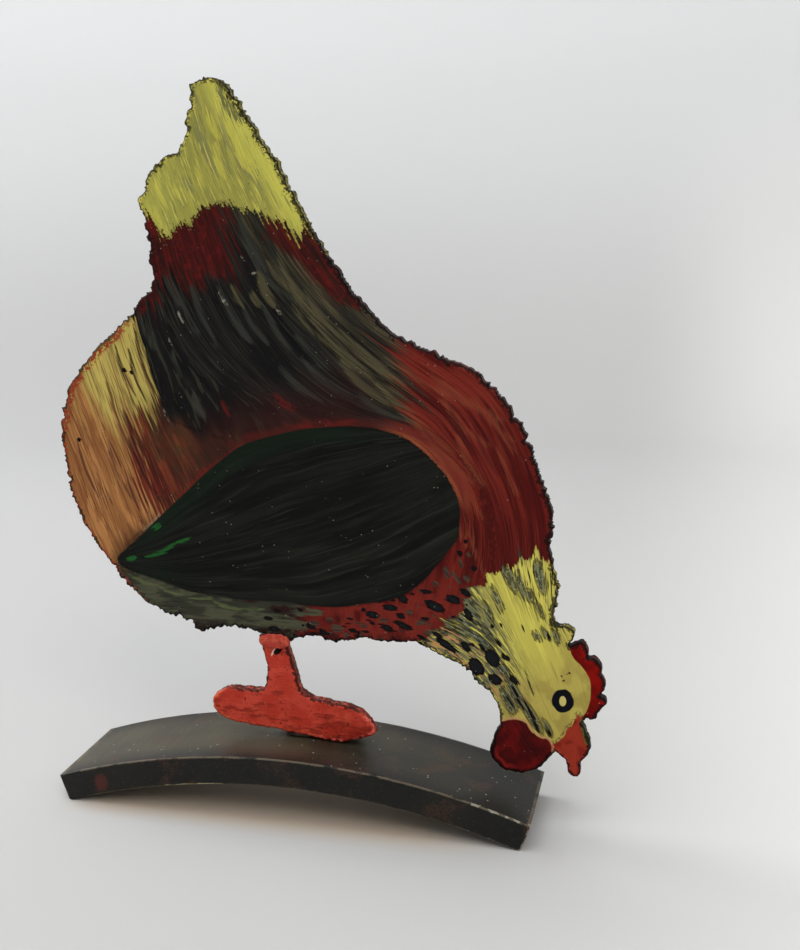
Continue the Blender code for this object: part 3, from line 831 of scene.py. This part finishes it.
    # Tail: yellow over everything, with light and grey-green strokes.
    tail_long = s.strokes(slant, 24, 3.0, 18.0)
    tail_fine = s.strokes(slant, 14, 1.2, 19.0)
    yellow = s.streak((134, 133, 66), (148, 144, 68), s.noise(s.place, 16, 2.0, 46.0), 0.4, 0.2)
    yellow = s.streak(yellow, (160, 155, 72), tail_long, 0.46, 0.2, 0.8)
    yellow = s.streak(yellow, (130, 128, 68), tail_fine, 0.5, 0.2, 0.4)
    yellow = s.touch(yellow, (116, 116, 76), "tail_shade", tail_fine, 5.0, 0.6, 0.65)
    yellow = s.touch(yellow, (188, 180, 74), "tail_light", tail_fine, 6.0, 0.5, 0.6)
    right_side = s.step(s.calc("MULTIPLY_ADD", x, 1.55, z), 292, 316)
    yellow = s.mix(s.both(right_side, 0.85), yellow, (190, 186, 84))
    left_side = s.not_(s.step(x, -64, -44))
    yellow = s.mix(s.both(left_side, 0.4), yellow, (178, 174, 82))
    yellow = s.streak(yellow, (112, 110, 64), s.strokes(slant, 13, 0.8, 75.0), 0.6, 0.04, 0.7)
    yellow = s.streak(yellow, (196, 186, 88), s.strokes(slant, 12, 0.8, 76.0), 0.61, 0.04, 0.7)
    spots = s.noise(s.place, 1.3, 2.0, 22.0)
    yellow = s.touch(yellow, (88, 88, 60), "smudge", s.strokes(slant, 5, 1.0, 77.0), 9.0, 0.5, 0.85)
    yellow = s.streak(yellow, (54, 48, 28), spots, 0.69, 0.03, 0.8)
    near_rim = s.not_(s.step(s.value("rim"), 0.8, 3.4))
    yellow = s.mix(s.both(near_rim, s.step(spots, 0.53, 0.57)), yellow, (80, 76, 40))
    yellow = s.mix(s.both(near_rim, s.not_(s.step(spots, 0.4, 0.44))), yellow, (204, 186, 84))
    tail = s.jag(s.value("tail"), s.strokes(slant, 12, 1.3, 23.0), 13)
    tail = s.step(s.jag(tail, s.noise(s.place, 1.1, 2.0, 47.0), 7), -0.4, 0.4)
    colour = s.mix(tail, colour, yellow)
    # Neck hackles.
    neck_long = s.strokes(neck, 26, 2.4, 24.0)
    neck_fine = s.strokes(neck, 18, 0.9, 25.0)
    straw = s.streak((190, 180, 83), (209, 199, 90), neck_long, 0.44, 0.2)
    upper = s.step(s.calc("ADD", x, z), 224, 246)
    left = s.not_(s.step(s.calc("MULTIPLY_ADD", z, 0.5, x), 148, 170))
    crease = s.streak(straw, (122, 116, 78), neck_fine, 0.53, 0.06, 0.8)
    crease = s.streak(crease, (44, 40, 26), s.strokes(neck, 13, 1.0, 52.0), 0.57, 0.04)
    straw = s.mix(s.calc("MAXIMUM", upper, left), straw, crease)
    grey_part = s.streak(straw, (92, 94, 76), s.strokes(neck, 12, 1.8, 53.0), 0.45, 0.05, 0.9)
    grey_part = s.streak(grey_part, (38, 39, 36), s.strokes(neck, 9, 1.2, 54.0), 0.54, 0.05, 0.9)
    straw = s.mix(s.both(left, s.step(z, 50, 60)), straw, grey_part)
    skull = s.step(s.calc("SUBTRACT", x, z), 20, 62)
    head_tone = s.streak((176, 162, 80), (157, 141, 70), s.noise(s.place, 9, 2.0, 55.0), 0.42, 0.2)
    head_tone = s.streak(head_tone, (120, 110, 58), s.strokes(neck, 22, 1.8, 56.0), 0.58, 0.12, 0.6)
    straw = s.mix(skull, straw, head_tone)
    throat = s.both(s.not_(s.step(s.calc("ADD", x, s.calc("MULTIPLY", z, 1.2)), 200, 214)),
                    s.step(s.strokes(neck, 7, 2.0, 26.0), 0.56, 0.6))
    straw = s.mix(s.both(throat, s.step(z, 62, 74)), straw, (178, 134, 84))
    ragged = s.jag(s.value("neck"), s.strokes(neck, 9, 1.0, 27.0), 7)
    neck_mask = s.step(ragged, -0.35, 0.35)
    colour = s.mix(neck_mask, colour, straw)
    pale = s.jag(s.value("pale"), s.strokes(neck, 6, 0.8, 28.0), 2.2)
    leaf = s.streak((104, 108, 84), (42, 45, 42), s.strokes(neck, 4, 1.1, 58.0), 0.45, 0.06)
    leaf = s.streak(leaf, (142, 142, 116), s.noise(s.place, 1.2, 1.0, 59.0), 0.66, 0.03)
    pale_tone = s.mix(neck_mask, s.streak((70, 60, 48), (42, 40, 34), neck_fine, 0.44, 0.12), leaf)
    line = s.both(s.both(s.step(pale, -1.0, -0.7), s.not_(s.step(pale, -0.1, 0.1))), neck_mask)
    colour = s.mix(s.both(s.both(line, s.step(neck_fine, 0.36, 0.5)), 0.8), colour, (48, 44, 26))
    colour = s.mix(s.both(s.step(pale, -0.2, 0.3), 0.9), colour, pale_tone)
    dark = s.jag(s.value("dark"), s.strokes(neck, 5, 0.9, 29.0), 2.2)
    dark_tone = s.mix(s.step(dark, 0.5, 1.4), (12, 8, 10), (20, 22, 25))
    colour = s.mix(s.step(dark, -0.2, 0.25), colour, dark_tone)
    # Wing: black with dark green along its top and grey streaks along its length.
    wing_long = s.strokes(wing, 80, 7, 30.0)
    wing_fine = s.strokes(wing, 44, 1.4, 31.0)
    black = s.streak((12, 13, 12), (24, 25, 21), wing_long, 0.4, 0.24)
    black = s.streak(black, (34, 34, 29), s.strokes(wing, 60, 3.0, 32.0), 0.5, 0.24, 0.7)
    black = s.streak(black, (8, 9, 8), wing_fine, 0.5, 0.2, 0.6)
    black = s.streak(black, (44, 45, 38), s.strokes(wing, 36, 0.9, 69.0), 0.6, 0.06, 0.4)
    inner = s.jag(s.value("wing"), wing_fine, 12)
    rim_green = s.both(s.not_(s.step(inner, 3, 13)), s.step(s.calc("MULTIPLY_ADD", x, -0.35, z), 128, 160))
    rim_green = s.both(rim_green, s.both(s.step(x, -92, -76), s.not_(s.step(x, 10, 60))))
    black = s.mix(s.both(rim_green, 0.8), black, (16, 28, 18))
    black = s.touch(black, (30, 92, 38), "sprout", wing_fine, 3.4, 0.5, 0.85)
    wing_mask = s.step(s.jag(s.value("wing"), wing_fine, 1.6), -0.3, 0.3)
    # A warm line runs round the top of the wing, widening at its right end.
    soft = s.jag(s.value("wing"), s.strokes(back, 26, 1.6, 34.0), 9)
    right_end = s.both(s.step(x, 40, 62), s.step(z, 160, 176))
    top = s.both(s.step(z, 186, 196), s.not_(right_end))
    glow = s.both(s.step(soft, -8, -2), right_end)
    thread = s.both(s.both(s.step(soft, -5.5, -2), top), s.step(x, -44, -30))
    colour = s.mix(s.both(thread, 0.7), colour, (76, 26, 21))
    colour = s.mix(s.both(glow, 0.85), colour, s.mix(s.step(soft, -3, 0), (110, 44, 34), (138, 74, 46)))
    colour = s.touch(colour, (96, 26, 22), "red_line", fine_back, 6.0, 0.7, 0.65)
    colour = s.mix(wing_mask, colour, black)
    # Beak, comb and wattle, with painted shade towards the rims of the comb and wattle.
    wide = s.noise(s.place, 9, 2.0, 36.0)
    inward = s.jag(s.value("rim"), wide, 5)
    comb_red = s.streak((98, 4, 1), (128, 9, 3), wide, 0.44, 0.2)
    # Painted shade: the comb darkens towards its rim as a domed form would.
    comb_tone = s.mix(s.step(inward, 0.2, 2.4), (64, 5, 3), comb_red)
    colour = s.mix(s.step(s.value("comb"), -0.2, 0.2), colour, comb_tone)
    beak_tone = s.streak((146, 48, 32), (124, 30, 20), wide, 0.5, 0.14)
    beak_tone = s.mix(s.step(inward, 0.2, 1.8), (92, 18, 11), beak_tone)
    bead_lumps = s.not_(s.step(s.value("rim"), 1.1, 2.0))
    bead_lumps = s.both(bead_lumps, s.step(s.noise(s.place, 1.8, 2.0, 78.0), 0.48, 0.54))
    beak_tone = s.mix(s.both(bead_lumps, s.not_(s.step(x, 140, 144))), beak_tone, (190, 74, 58))
    beak_tone = s.mix(s.both(s.step(s.value("green"), -0.4, 0.5), 0.9), beak_tone, (80, 92, 36))
    beak = s.jag(s.value("beak"), neck_fine, 2.0)
    join = s.both(s.step(beak, -1.9, -1.1), s.step(s.noise(s.place, 1.6, 2.0, 81.0), 0.44, 0.54))
    colour = s.mix(s.both(join, 0.75), colour, (92, 66, 40))
    colour = s.mix(s.step(beak, -0.3, 0.3), colour, beak_tone)
    wattle_tone = s.streak((64, 7, 8), (94, 11, 10), wide, 0.4, 0.24)
    wattle_tone = s.streak(wattle_tone, (46, 8, 8), s.strokes(neck, 14, 1.4, 79.0), 0.54, 0.08, 0.6)
    # Painted shade: the wattle darkens towards its rim.
    wattle_tone = s.mix(s.step(inward, 0.4, 2.8), (40, 6, 6), wattle_tone)
    # Painted highlight: a paler band along the wattle's lower-left rim.
    wattle_highlight = s.both(s.both(s.step(inward, 1.6, 2.4), s.not_(s.step(inward, 3.2, 4.6))),
                   s.not_(s.step(s.calc("ADD", x, z), 140, 150)))
    wattle_tone = s.mix(s.both(wattle_highlight, 0.6), wattle_tone, (136, 30, 26))
    wattle = s.jag(s.value("wattle"), neck_fine, 1.4)
    colour = s.mix(s.both(s.both(s.step(wattle, -1.5, -0.9), neck_mask), 0.6), colour, (186, 126, 98))
    colour = s.mix(s.step(wattle, -0.3, 0.3), colour, wattle_tone)
    # Eye: a black ring around a yellow pupil.
    away = s.vector("SUBTRACT", s.place, (EYE_PLACE[0], 0, EYE_PLACE[1]))
    ring = [s.node("VectorMath", {0: s.vector("MULTIPLY", away, (1 / a, 0, 1 / b))},
                   operation="LENGTH").outputs["Value"]
            for a, b in (EYE_SIZE, PUPIL_SIZE)]
    wobble = s.calc("MULTIPLY", s.calc("SUBTRACT", s.noise(s.place, 3.0, 1.0, 37.0), 0.5), 0.22)
    eye = s.not_(s.step(s.calc("ADD", ring[0], wobble), 0.97, 1.03))
    pupil = s.not_(s.step(s.calc("ADD", ring[1], wobble), 0.92, 1.06))
    colour = s.mix(eye, colour, (8, 10, 18))
    colour = s.mix(pupil, colour, (192, 178, 104))
    # The cut rim: paint is thin and burnt dark there, and it is darkened further as painted shade on the
    # rounded edge, with bright crumbs on the lip.
    rim = s.value("rim")
    crumb = s.noise(s.place, 1.5, 2.0, 38.0)
    rust_reach = s.calc("MULTIPLY_ADD", s.step(z, 176, 206), 2.0, 2.4)
    rust = s.both(s.not_(s.step(s.calc("SUBTRACT", rim, rust_reach), -1.2, 0.4)), s.not_(s.step(x, -92, -76)))
    colour = s.mix(s.both(rust, s.step(crumb, 0.44, 0.54)), colour, (138, 56, 36))
    deep = s.mix(0.85, colour, (8, 5, 5))
    ragged_rim = s.jag(s.jag(rim, crumb, 6.0), s.noise(s.place, 8.0, 2.0, 57.0), 4.0)
    burnt_and_shaded_edge = s.not_(s.step(ragged_rim, 1.0, 1.4))
    colour = s.mix(s.both(burnt_and_shaded_edge, 0.92), colour, deep)
    # Painted shade: the outermost line of the rounded corner is painted near-black.
    colour = s.mix(s.both(s.not_(s.step(rim, 0.4, 0.9)), 0.8), colour, (10, 7, 6))
    wall = s.value("wall")
    # Painted shade: near-black patches stand for the shade in the crevices of the cut wall.
    crevice_shade = s.step(s.noise(s.place, 1.9, 3.0, 39.0), 0.44, 0.56)
    wall_tone = s.mix(crevice_shade, s.mix(0.62, colour, (28, 13, 9)), (8, 5, 4))
    colour = s.mix(s.both(wall, 0.92), colour, wall_tone)
    # Specks of pale dust and paint, which also stand for painted highlights on the bristle relief.
    dots = s.node("TexVoronoi", {"Vector": s.place, "Scale": 0.26, "Randomness": 1.0})
    speck = s.both(s.not_(s.step(dots.outputs["Distance"], 0.06, 0.1)),
                   s.step(s.noise(s.place, 16, 3.0, 40.0), 0.5, 0.58))
    colour = s.mix(s.both(speck, 0.38), colour, (176, 170, 150))
    # One flow for the bristle marks in the surface.
    flow = s.flow("flow_paint")
    bristle = s.strokes(flow, 18, 0.55, 41.0, 3.0)
    ridges = s.strokes(flow, 30, 1.6, 42.0, 2.0)
    roughness = s.calc("MULTIPLY_ADD", s.noise(s.place, 14, 3.0, 43.0), 0.22, 0.3)
    roughness = s.calc("MULTIPLY_ADD", bristle, 0.14, roughness)
    step_up = s.calc("ADD", s.calc("ADD", neck_mask, tail), s.step(dark, -0.2, 0.4))
    return s.finish(colour, roughness, [(ridges, 0.34), (bristle, 0.22), (step_up, 0.06),
                                        (crumb, 0.1)], shine=0.07)


# ---------------------------------------------------------------- leg, welds and bar
def pit_reach(points):
    """How far each point is from the middle of the slanted pit in the leg, in pit sizes."""
    c, s = math.cos(math.radians(PIT_TURN)), math.sin(math.radians(PIT_TURN))
    dx, dz = points[:, 0] - PIT_PLACE[0], points[:, 1] - PIT_PLACE[1]
    return np.hypot((dx * c + dz * s) / PIT_SIZE[0], (dz * c - dx * s) / PIT_SIZE[1])


def pit_dent(points):
    return 2.6 * np.clip(1.15 - pit_reach(points), 0, 1) ** 0.6


def leg_paint(points):
    return {"pit": pit_reach(points)}


def leg_material():
    """Vermilion enamel with dark freckles, and orange where the brush rode over the rim."""
    s = Shader("vermilion_enamel")
    x, z = s.axis(s.place, "X"), s.axis(s.place, "Z")
    long = s.noise(s.place, 1.0, 3.0, 1.0, (12, 12, 3))
    colour = s.streak((173, 52, 38), (187, 66, 50), s.noise(s.place, 11, 3.0, 2.0), 0.42, 0.2)
    colour = s.streak(colour, (134, 40, 28), long, 0.55, 0.1, 0.8)
    toe = s.both(s.step(x, 6, 34), s.not_(s.step(z, 38, 52)))
    colour = s.mix(s.both(toe, 0.75), colour, (112, 24, 13))
    colour = s.streak(colour, (180, 78, 46), s.noise(s.place, 4.0, 3.0, 3.0), 0.62, 0.08, 0.4)
    freckle = s.noise(s.place, 1.3, 1.0, 4.0)
    colour = s.streak(colour, (84, 26, 18), freckle, 0.68, 0.04, 0.85)
    colour = s.streak(colour, (70, 26, 16), s.noise(s.place, 5.0, 3.0, 9.0), 0.66, 0.05, 0.6)
    rim = s.value("rim")
    crumb = s.noise(s.place, 1.7, 2.0, 5.0)
    ragged = s.jag(rim, crumb, 4.0)
    low_side = s.calc("MAXIMUM", s.not_(s.step(x, -44, -34)),
                      s.not_(s.step(s.calc("MULTIPLY_ADD", x, 0.12, z), 40, 45)))
    low_side = s.calc("MAXIMUM", low_side, s.step(x, 32, 38))
    burnt = s.both(s.not_(s.step(ragged, 0.5, 1.3)), s.not_(low_side))
    colour = s.mix(s.both(burnt, 0.9), colour, (34, 15, 9))
    lumps = s.both(s.not_(s.step(ragged, 1.4, 2.4)), s.step(s.noise(s.place, 2.6, 2.0, 10.0), 0.46, 0.56))
    lump_tone = s.mix(s.step(x, 8, 12), (192, 88, 56), (206, 92, 80))
    colour = s.mix(s.both(s.both(lumps, low_side), 0.85), colour, lump_tone)
    wall = s.value("wall")
    ribs = s.noise(s.place, 2.6, 3.0, 6.0)
    wall_tone = s.streak((54, 16, 9), (158, 66, 36), ribs, 0.5, 0.08)
    # Painted shade: near-black patches stand for the shade in the recesses of the cut wall.
    wall_tone = s.streak(wall_tone, (20, 9, 8), s.noise(s.place, 2.0, 2.0, 7.0), 0.5, 0.06)
    colour = s.mix(s.both(wall, 0.92), colour, wall_tone)
    # The pit: a pale crescent on its upper-left rim is a painted highlight, and its inside is painted
    # near-black as painted shade in the recess.
    front = s.not_(s.step(s.axis(s.place, "Y"), -0.5, 0.5))
    pit = s.value("pit")
    pit_glint = s.both(s.step(pit, 1.1, 1.2), s.not_(s.step(pit, 1.5, 1.7)))
    above = s.step(s.calc("SUBTRACT", z, x), PIT_PLACE[1] - PIT_PLACE[0], PIT_PLACE[1] - PIT_PLACE[0] + 1)
    colour = s.mix(s.both(s.both(front, s.both(pit_glint, above)), 0.8), colour, (226, 190, 176))
    colour = s.mix(s.both(front, s.not_(s.step(pit, 0.95, 1.12))), colour, (18, 10, 9))
    roughness = s.calc("MULTIPLY_ADD", s.noise(s.place, 6, 3.0, 8.0), 0.24, 0.3)
    return s.finish(colour, roughness, [(long, 0.3), (crumb, 0.2), (freckle, 0.1)], shine=0.1)


def bead(name, node, material, ripples, seed):
    """A lumpy run of weld metal that fills its CAD node's box."""
    low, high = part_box(node)
    middle, half = (low + high) / 2, (high - low) / 2
    run = 0 if half.x >= half.z else 2
    solid = bmesh.new()
    bmesh.ops.create_icosphere(solid, subdivisions=5, radius=1.0)
    points = np.array([v.co for v in solid.verts])
    lumps = field_lumps(points[:, [0, 1]] * 9 + 3, 1.6, seed)
    lumps = lumps + field_lumps(points[:, [0, 2]] * 9, 1.3, seed + 1)
    for vertex, lump in zip(solid.verts, lumps):
        square = [math.copysign(abs(c) ** 0.8, c) for c in vertex.co]
        scallop = 0.05 * math.cos(ripples * math.pi * square[run])
        size = 0.9 + 0.05 * lump + scallop
        for axis in range(3):
            reach = square[axis] if axis == run else square[axis] * size
            vertex.co[axis] = middle[axis] + half[axis] * max(-1.0, min(1.0, reach))
    mesh = bpy.data.meshes.new(name)
    solid.to_mesh(mesh)
    solid.free()
    mesh.polygons.foreach_set("use_smooth", [True] * len(mesh.polygons))
    mesh.materials.append(material)
    place_piece(name, mesh, node)


def weld_material(name, base, light, dark):
    """A weld bead under brushed paint."""
    s = Shader(name)
    lumps = s.noise(s.place, 3.2, 3.0, 1.0)
    crumb = s.noise(s.place, 1.1, 2.0, 2.0)
    colour = s.streak(base, light, lumps, 0.5, 0.1)
    colour = s.streak(colour, dark, crumb, 0.6, 0.06, 0.8)
    roughness = s.calc("MULTIPLY_ADD", lumps, 0.3, 0.3)
    return s.finish(colour, roughness, [(lumps, 0.4), (crumb, 0.2)])


def bar_material():
    """Satin black paint on steel, worn at its edges, with dust and painted sheen on the top, scuffs and small
    chips.
    """
    s = Shader("satin_black_steel")
    x, y, z = (s.axis(s.place, key) for key in "XYZ")
    cloud = s.noise(s.place, 34, 4.0, 1.0)
    grain = s.noise(s.place, 1.0, 2.0, 2.0, (26, 1.0, 26))
    fine = s.noise(s.place, 0.9, 2.0, 3.0)
    colour = s.streak((15, 15, 12), (23, 22, 17), cloud, 0.36, 0.3)
    colour = s.streak(colour, (12, 12, 11), grain, 0.5, 0.2, 0.5)
    # A thin film of dust lies on the top, most of it towards the left end; it is also painted sheen, the top
    # catching more light than the front and most at the left.
    dust_and_sheen = s.calc("MULTIPLY_ADD", s.not_(s.step(x, -40, 140)), 0.94, 0.06)
    dust_and_sheen = s.both(s.both(s.value("wall"), dust_and_sheen), s.step(cloud, 0.0, 0.7))
    colour = s.mix(s.both(dust_and_sheen, 0.56), colour, (86, 79, 60))
    colour = s.streak(colour, (60, 58, 50), fine, 0.63, 0.05, 0.5)
    rust = s.both(s.step(s.noise(s.place, 15, 3.0, 4.0), 0.56, 0.64), s.step(fine, 0.4, 0.56))
    colour = s.mix(s.both(rust, 0.45), colour, (70, 44, 30))
    dots = s.node("TexVoronoi", {"Vector": s.place, "Scale": 0.24, "Randomness": 1.0})
    speck = s.both(s.not_(s.step(dots.outputs["Distance"], 0.07, 0.13)),
                   s.step(s.noise(s.place, 26, 2.0, 5.0), 0.46, 0.56))
    front = s.not_(s.step(y, -29.6, -29.2))
    colour = s.mix(s.both(s.both(speck, s.not_(front)), 0.7), colour, (176, 172, 158))
    rim = s.value("rim")
    wear = s.not_(s.step(s.jag(rim, fine, 1.4), 0.35, 0.9))
    worn = s.both(wear, s.step(s.noise(s.place, 9, 3.0, 6.0), 0.36, 0.5))
    colour = s.mix(s.both(worn, 0.5), colour, (108, 96, 78))
    scuff = s.both(s.both(wear, s.step(x, 88, 96)), s.step(s.noise(s.place, 5, 3.0, 7.0), 0.5, 0.56))
    scuff = s.both(scuff, s.not_(s.step(y, -29, -27)))
    colour = s.mix(s.both(scuff, 0.7), colour, (150, 146, 134))
    # A red-brown spot and pale chips along the lower edge of the front wall.
    across = s.calc("MULTIPLY_ADD", x, 0.26, 26.4)
    above = s.calc("MULTIPLY_ADD", z, 0.2, -2.4)
    spot = s.jag(s.calc("ADD", s.both(across, across), s.both(above, above)), fine, 2.4)
    colour = s.mix(s.both(s.both(s.not_(s.step(spot, 0.6, 1.1)), front), 0.6), colour, (84, 34, 28))
    warm = s.both(s.both(s.step(x, -46, -20), s.not_(s.step(x, 20, 60))), s.not_(s.step(y, -28, -14)))
    warm = s.both(s.both(warm, s.value("wall")), s.step(s.jag(fine, cloud, 0.8), 0.42, 0.56))
    colour = s.mix(s.both(warm, 0.45), colour, (104, 60, 48))
    chip = s.both(s.both(wear, s.not_(s.step(z, 18, 20))),
                  s.both(s.step(x, -66, -64), s.not_(s.step(x, -34, -32))))
    chip = s.both(chip, s.step(s.noise(s.place, 8, 2.0, 8.0), 0.46, 0.5))
    colour = s.mix(s.both(s.both(chip, front), 0.8), colour, (186, 176, 136))
    roughness = s.calc("MULTIPLY_ADD", cloud, 0.12, 0.42)
    roughness = s.calc("MULTIPLY_ADD", speck, 0.2, roughness)
    return s.finish(colour, roughness, [(cloud, 0.12), (grain, 0.04), (fine, 0.05)], shine=0.22)


def no_paint(points):
    """The bar is one colour all over, so that nothing is stored for its points."""
    return {}


def nowhere(x, z):
    """No zone of the plate needs the finer grid."""
    return np.zeros(len(x), bool)


def calm_head(points):
    """The comb, beak and wattle were cut with smoother edges than the body."""
    return np.where((points[:, 0] > 98) & (points[:, 1] < 103), 0.55, 1.0)


def calm_nowhere(points):
    return np.ones(len(points))


def near_head(x, z):
    """The part of the hen where the paint has small marks."""
    return ((x > -20) & (z < 122)) | ((x > 70) & (z < 152))


HEN_SHAPE = {"step": 0.5, "rough": ((1.5, 0.6), (3.3, 0.85), (9, 0.3)), "nick": 1.8,
             "rings": (0.4, 0.95, 1.7), "grid": 1.5, "fine": 0.85, "zone": near_head, "corner": 0.8,
             "lip": 0.34, "wave": 0.1, "layers": 7, "lag": 2.2, "drag": 0.3, "calm": calm_head}
LEG_SHAPE = {"step": 0.5, "rough": ((1.5, 0.24), (4.0, 0.4)), "nick": 0.5,
             "rings": (0.4, 0.95, 1.7), "grid": 0.8, "fine": 0.8, "zone": nowhere, "corner": 1.0,
             "lip": 0.3, "wave": 0.14, "layers": 8, "lag": 1.6, "drag": 0.4, "calm": calm_nowhere,
             "dent": pit_dent}
BAR_SHAPE = {"step": 1.0, "rough": ((14, 0.06),), "nick": 0.0,
             "rings": (0.35, 0.8, 1.6), "grid": 1.6, "fine": 1.6, "zone": nowhere, "corner": 0.55,
             "lip": 0.0, "wave": 0.03, "layers": 40, "lag": 0.0, "drag": 0.03,
             "calm": calm_nowhere}

hen = cut_plate("hen_figure", "hen_plate", HEN_SHAPE, hen_paint)
hen.data.materials.append(hen_material())
leg = cut_plate("leg_and_foot_plate", "leg_and_foot", LEG_SHAPE, leg_paint)
leg.data.materials.append(leg_material())
bar = cut_plate("bar_base", "arched_bar", BAR_SHAPE, no_paint)
bar.data.materials.append(bar_material())
leg_bead = weld_material("painted_weld", (166, 52, 36), (182, 74, 50), (96, 28, 18))
foot_bead = weld_material("dark_weld", (40, 34, 30), (62, 48, 40), (20, 18, 18))
bead("leg_weld_bead_front", "leg_weld_front", leg_bead, 5, 51)
bead("leg_weld_bead_rear", "leg_weld_rear", leg_bead, 5, 52)
bead("foot_weld_bead_root", "foot_weld_root", foot_bead, 4, 53)
bead("foot_weld_bead_rear", "foot_weld_rear", foot_bead, 8, 54)


# ---------------------------------------------------------------- stage, light and camera
def round_sweep():
    """A pale floor that curves up all round into a plain wall, so that every view has a backdrop."""
    flat, bend, top = 1.35, 0.5, 2.6
    middle = (0.0, -0.35)
    profile = [(flat * k / 6, 0.0) for k in range(1, 7)]
    profile += [(flat + bend * math.sin(a), bend - bend * math.cos(a)) for a in np.radians(range(6, 91, 6))]
    profile += [(flat + bend, top)]
    count = 96
    turns = [2 * math.pi * k / count for k in range(count)]
    vertices = [(*middle, 0.0)]
    vertices += [(middle[0] + r * math.cos(a), middle[1] + r * math.sin(a), z)
                 for r, z in profile for a in turns]
    faces = [(0, 1 + k, 1 + (k + 1) % count) for k in range(count)]
    for ring in range(len(profile) - 1):
        start = 1 + ring * count
        faces += [(start + k, start + count + k, start + count + (k + 1) % count, start + (k + 1) % count)
                  for k in range(count)]
    mesh = bpy.data.meshes.new("studio_sweep")
    mesh.from_pydata(vertices, [], faces)
    mesh.polygons.foreach_set("use_smooth", [True] * len(faces))
    s = Shader("pale_sweep")
    x, y = s.axis(s.place, "X"), s.axis(s.place, "Y")
    high = s.step(s.axis(s.place, "Z"), 20, 620)
    low = s.not_(high)
    left, right = s.not_(s.step(x, -700, 500)), s.step(x, 90, 380)
    # Painted light and shade: the paper is painted paler high up and low on the right, and darker low on the
    # left.
    paper = s.mix(high, (182, 182, 181), (208, 209, 210))
    paper = s.mix(s.both(s.both(left, low), 0.22), paper, (110, 110, 113))
    paper = s.mix(s.both(s.both(right, low), 0.5), paper, (232, 232, 228))
    paper = s.mix(s.both(s.both(left, high), 0.14), paper, (240, 240, 241))
    # A warm tint on the paper under the arch stands in for light thrown down by the steel.
    arch = s.both(s.step(x, -132, -96), s.not_(s.step(x, 60, 124)))
    arch = s.both(arch, s.both(s.step(y, -46, -26), s.not_(s.step(y, 10, 40))))
    paper = s.mix(s.both(arch, 0.6), paper, (172, 148, 118))
    mesh.materials.append(s.finish(paper, 0.9, [(s.noise(s.place, 2.0, 1.0, 2.0), 0.004)], shine=0.1))
    floor = bpy.data.objects.new("studio_sweep", mesh)
    bpy.context.scene.collection.objects.link(floor)


def soft_light(name, place, target, size, power, tint):
    light = bpy.data.lights.new(name, "AREA")
    light.shape = "RECTANGLE"
    light.size, light.size_y = size
    light.energy = power
    light.color = tint
    lamp = bpy.data.objects.new(name, light)
    lamp.location = place
    lamp.rotation_euler = (Vector(target) - Vector(place)).to_track_quat("-Z", "Y").to_euler()
    bpy.context.scene.collection.objects.link(lamp)


# The camera's place is in metres from under the middle of the bar. Its turn to the left, tip
# downwards and roll are in degrees, and its lens and sensor in millimetres.
CAMERA_PLACE = (0.1879, -0.5592, 0.3084)
CAMERA_TURN, CAMERA_TIP, CAMERA_ROLL = 13.38, 12.70, -0.45
CAMERA_LENS = 45.4
CAMERA_SENSOR = 36
# How strongly the surround lights the object, and how bright the camera sees it.
SKY_ON_OBJECT = 0.1
SKY_TO_CAMERA = 0.66
COOL_WHITE = (0.98, 0.99, 1.0)
WARM_WHITE = (1.0, 0.96, 0.91)


def studio_world():
    """A pale surround that the camera sees, and that lights the object only faintly."""
    world = bpy.data.worlds.new("studio")
    world.use_nodes = True
    nodes, links = world.node_tree.nodes, world.node_tree.links
    sky = nodes["Background"]
    sky.inputs["Color"].default_value = (1, 1, 1, 1)
    path = nodes.new("ShaderNodeLightPath")
    level = nodes.new("ShaderNodeMapRange")
    level.inputs["To Min"].default_value = SKY_ON_OBJECT
    level.inputs["To Max"].default_value = SKY_TO_CAMERA
    links.new(path.outputs["Is Camera Ray"], level.inputs["Value"])
    links.new(level.outputs["Result"], sky.inputs["Strength"])
    bpy.context.scene.world = world


def studio_camera():
    """The camera stands to the right of the hen's middle and looks a little down."""
    turn, tip, roll = (math.radians(angle) for angle in (CAMERA_TURN, CAMERA_TIP, CAMERA_ROLL))
    right = Vector((math.cos(turn), math.sin(turn), 0))
    ahead = Vector((-math.sin(turn) * math.cos(tip), math.cos(turn) * math.cos(tip), -math.sin(tip)))
    up = right.cross(ahead)
    tilted_right = right * math.cos(roll) + up * math.sin(roll)
    tilted_up = up * math.cos(roll) - right * math.sin(roll)
    camera = bpy.data.objects.new("camera", bpy.data.cameras.new("camera"))
    camera.data.lens = CAMERA_LENS
    camera.data.sensor_width = CAMERA_SENSOR
    turned = Matrix((tilted_right, tilted_up, -ahead)).transposed()
    place = Vector((MIDDLE, 0, 0)) + Vector(CAMERA_PLACE)
    camera.matrix_world = Matrix.Translation(place) @ turned.to_4x4()
    camera.data.clip_start = 0.01
    bpy.context.scene.collection.objects.link(camera)
    bpy.context.scene.camera = camera


round_sweep()
studio_world()
soft_light("overhead", (-0.35, -0.15, 1.9), (0.05, 0.15, 0.0), (2.0, 1.8), 34.5, COOL_WHITE)
soft_light("front_fill", (0.85, -1.55, 1.85), (0, 0, 0.15), (1.1, 0.9), 20, WARM_WHITE)
soft_light("left_rear", (-1.35, 0.35, 0.9), (0, 0, 0.1), (0.8, 0.8), 13, COOL_WHITE)
bpy.context.scene.view_settings.view_transform = "Standard"
studio_camera()
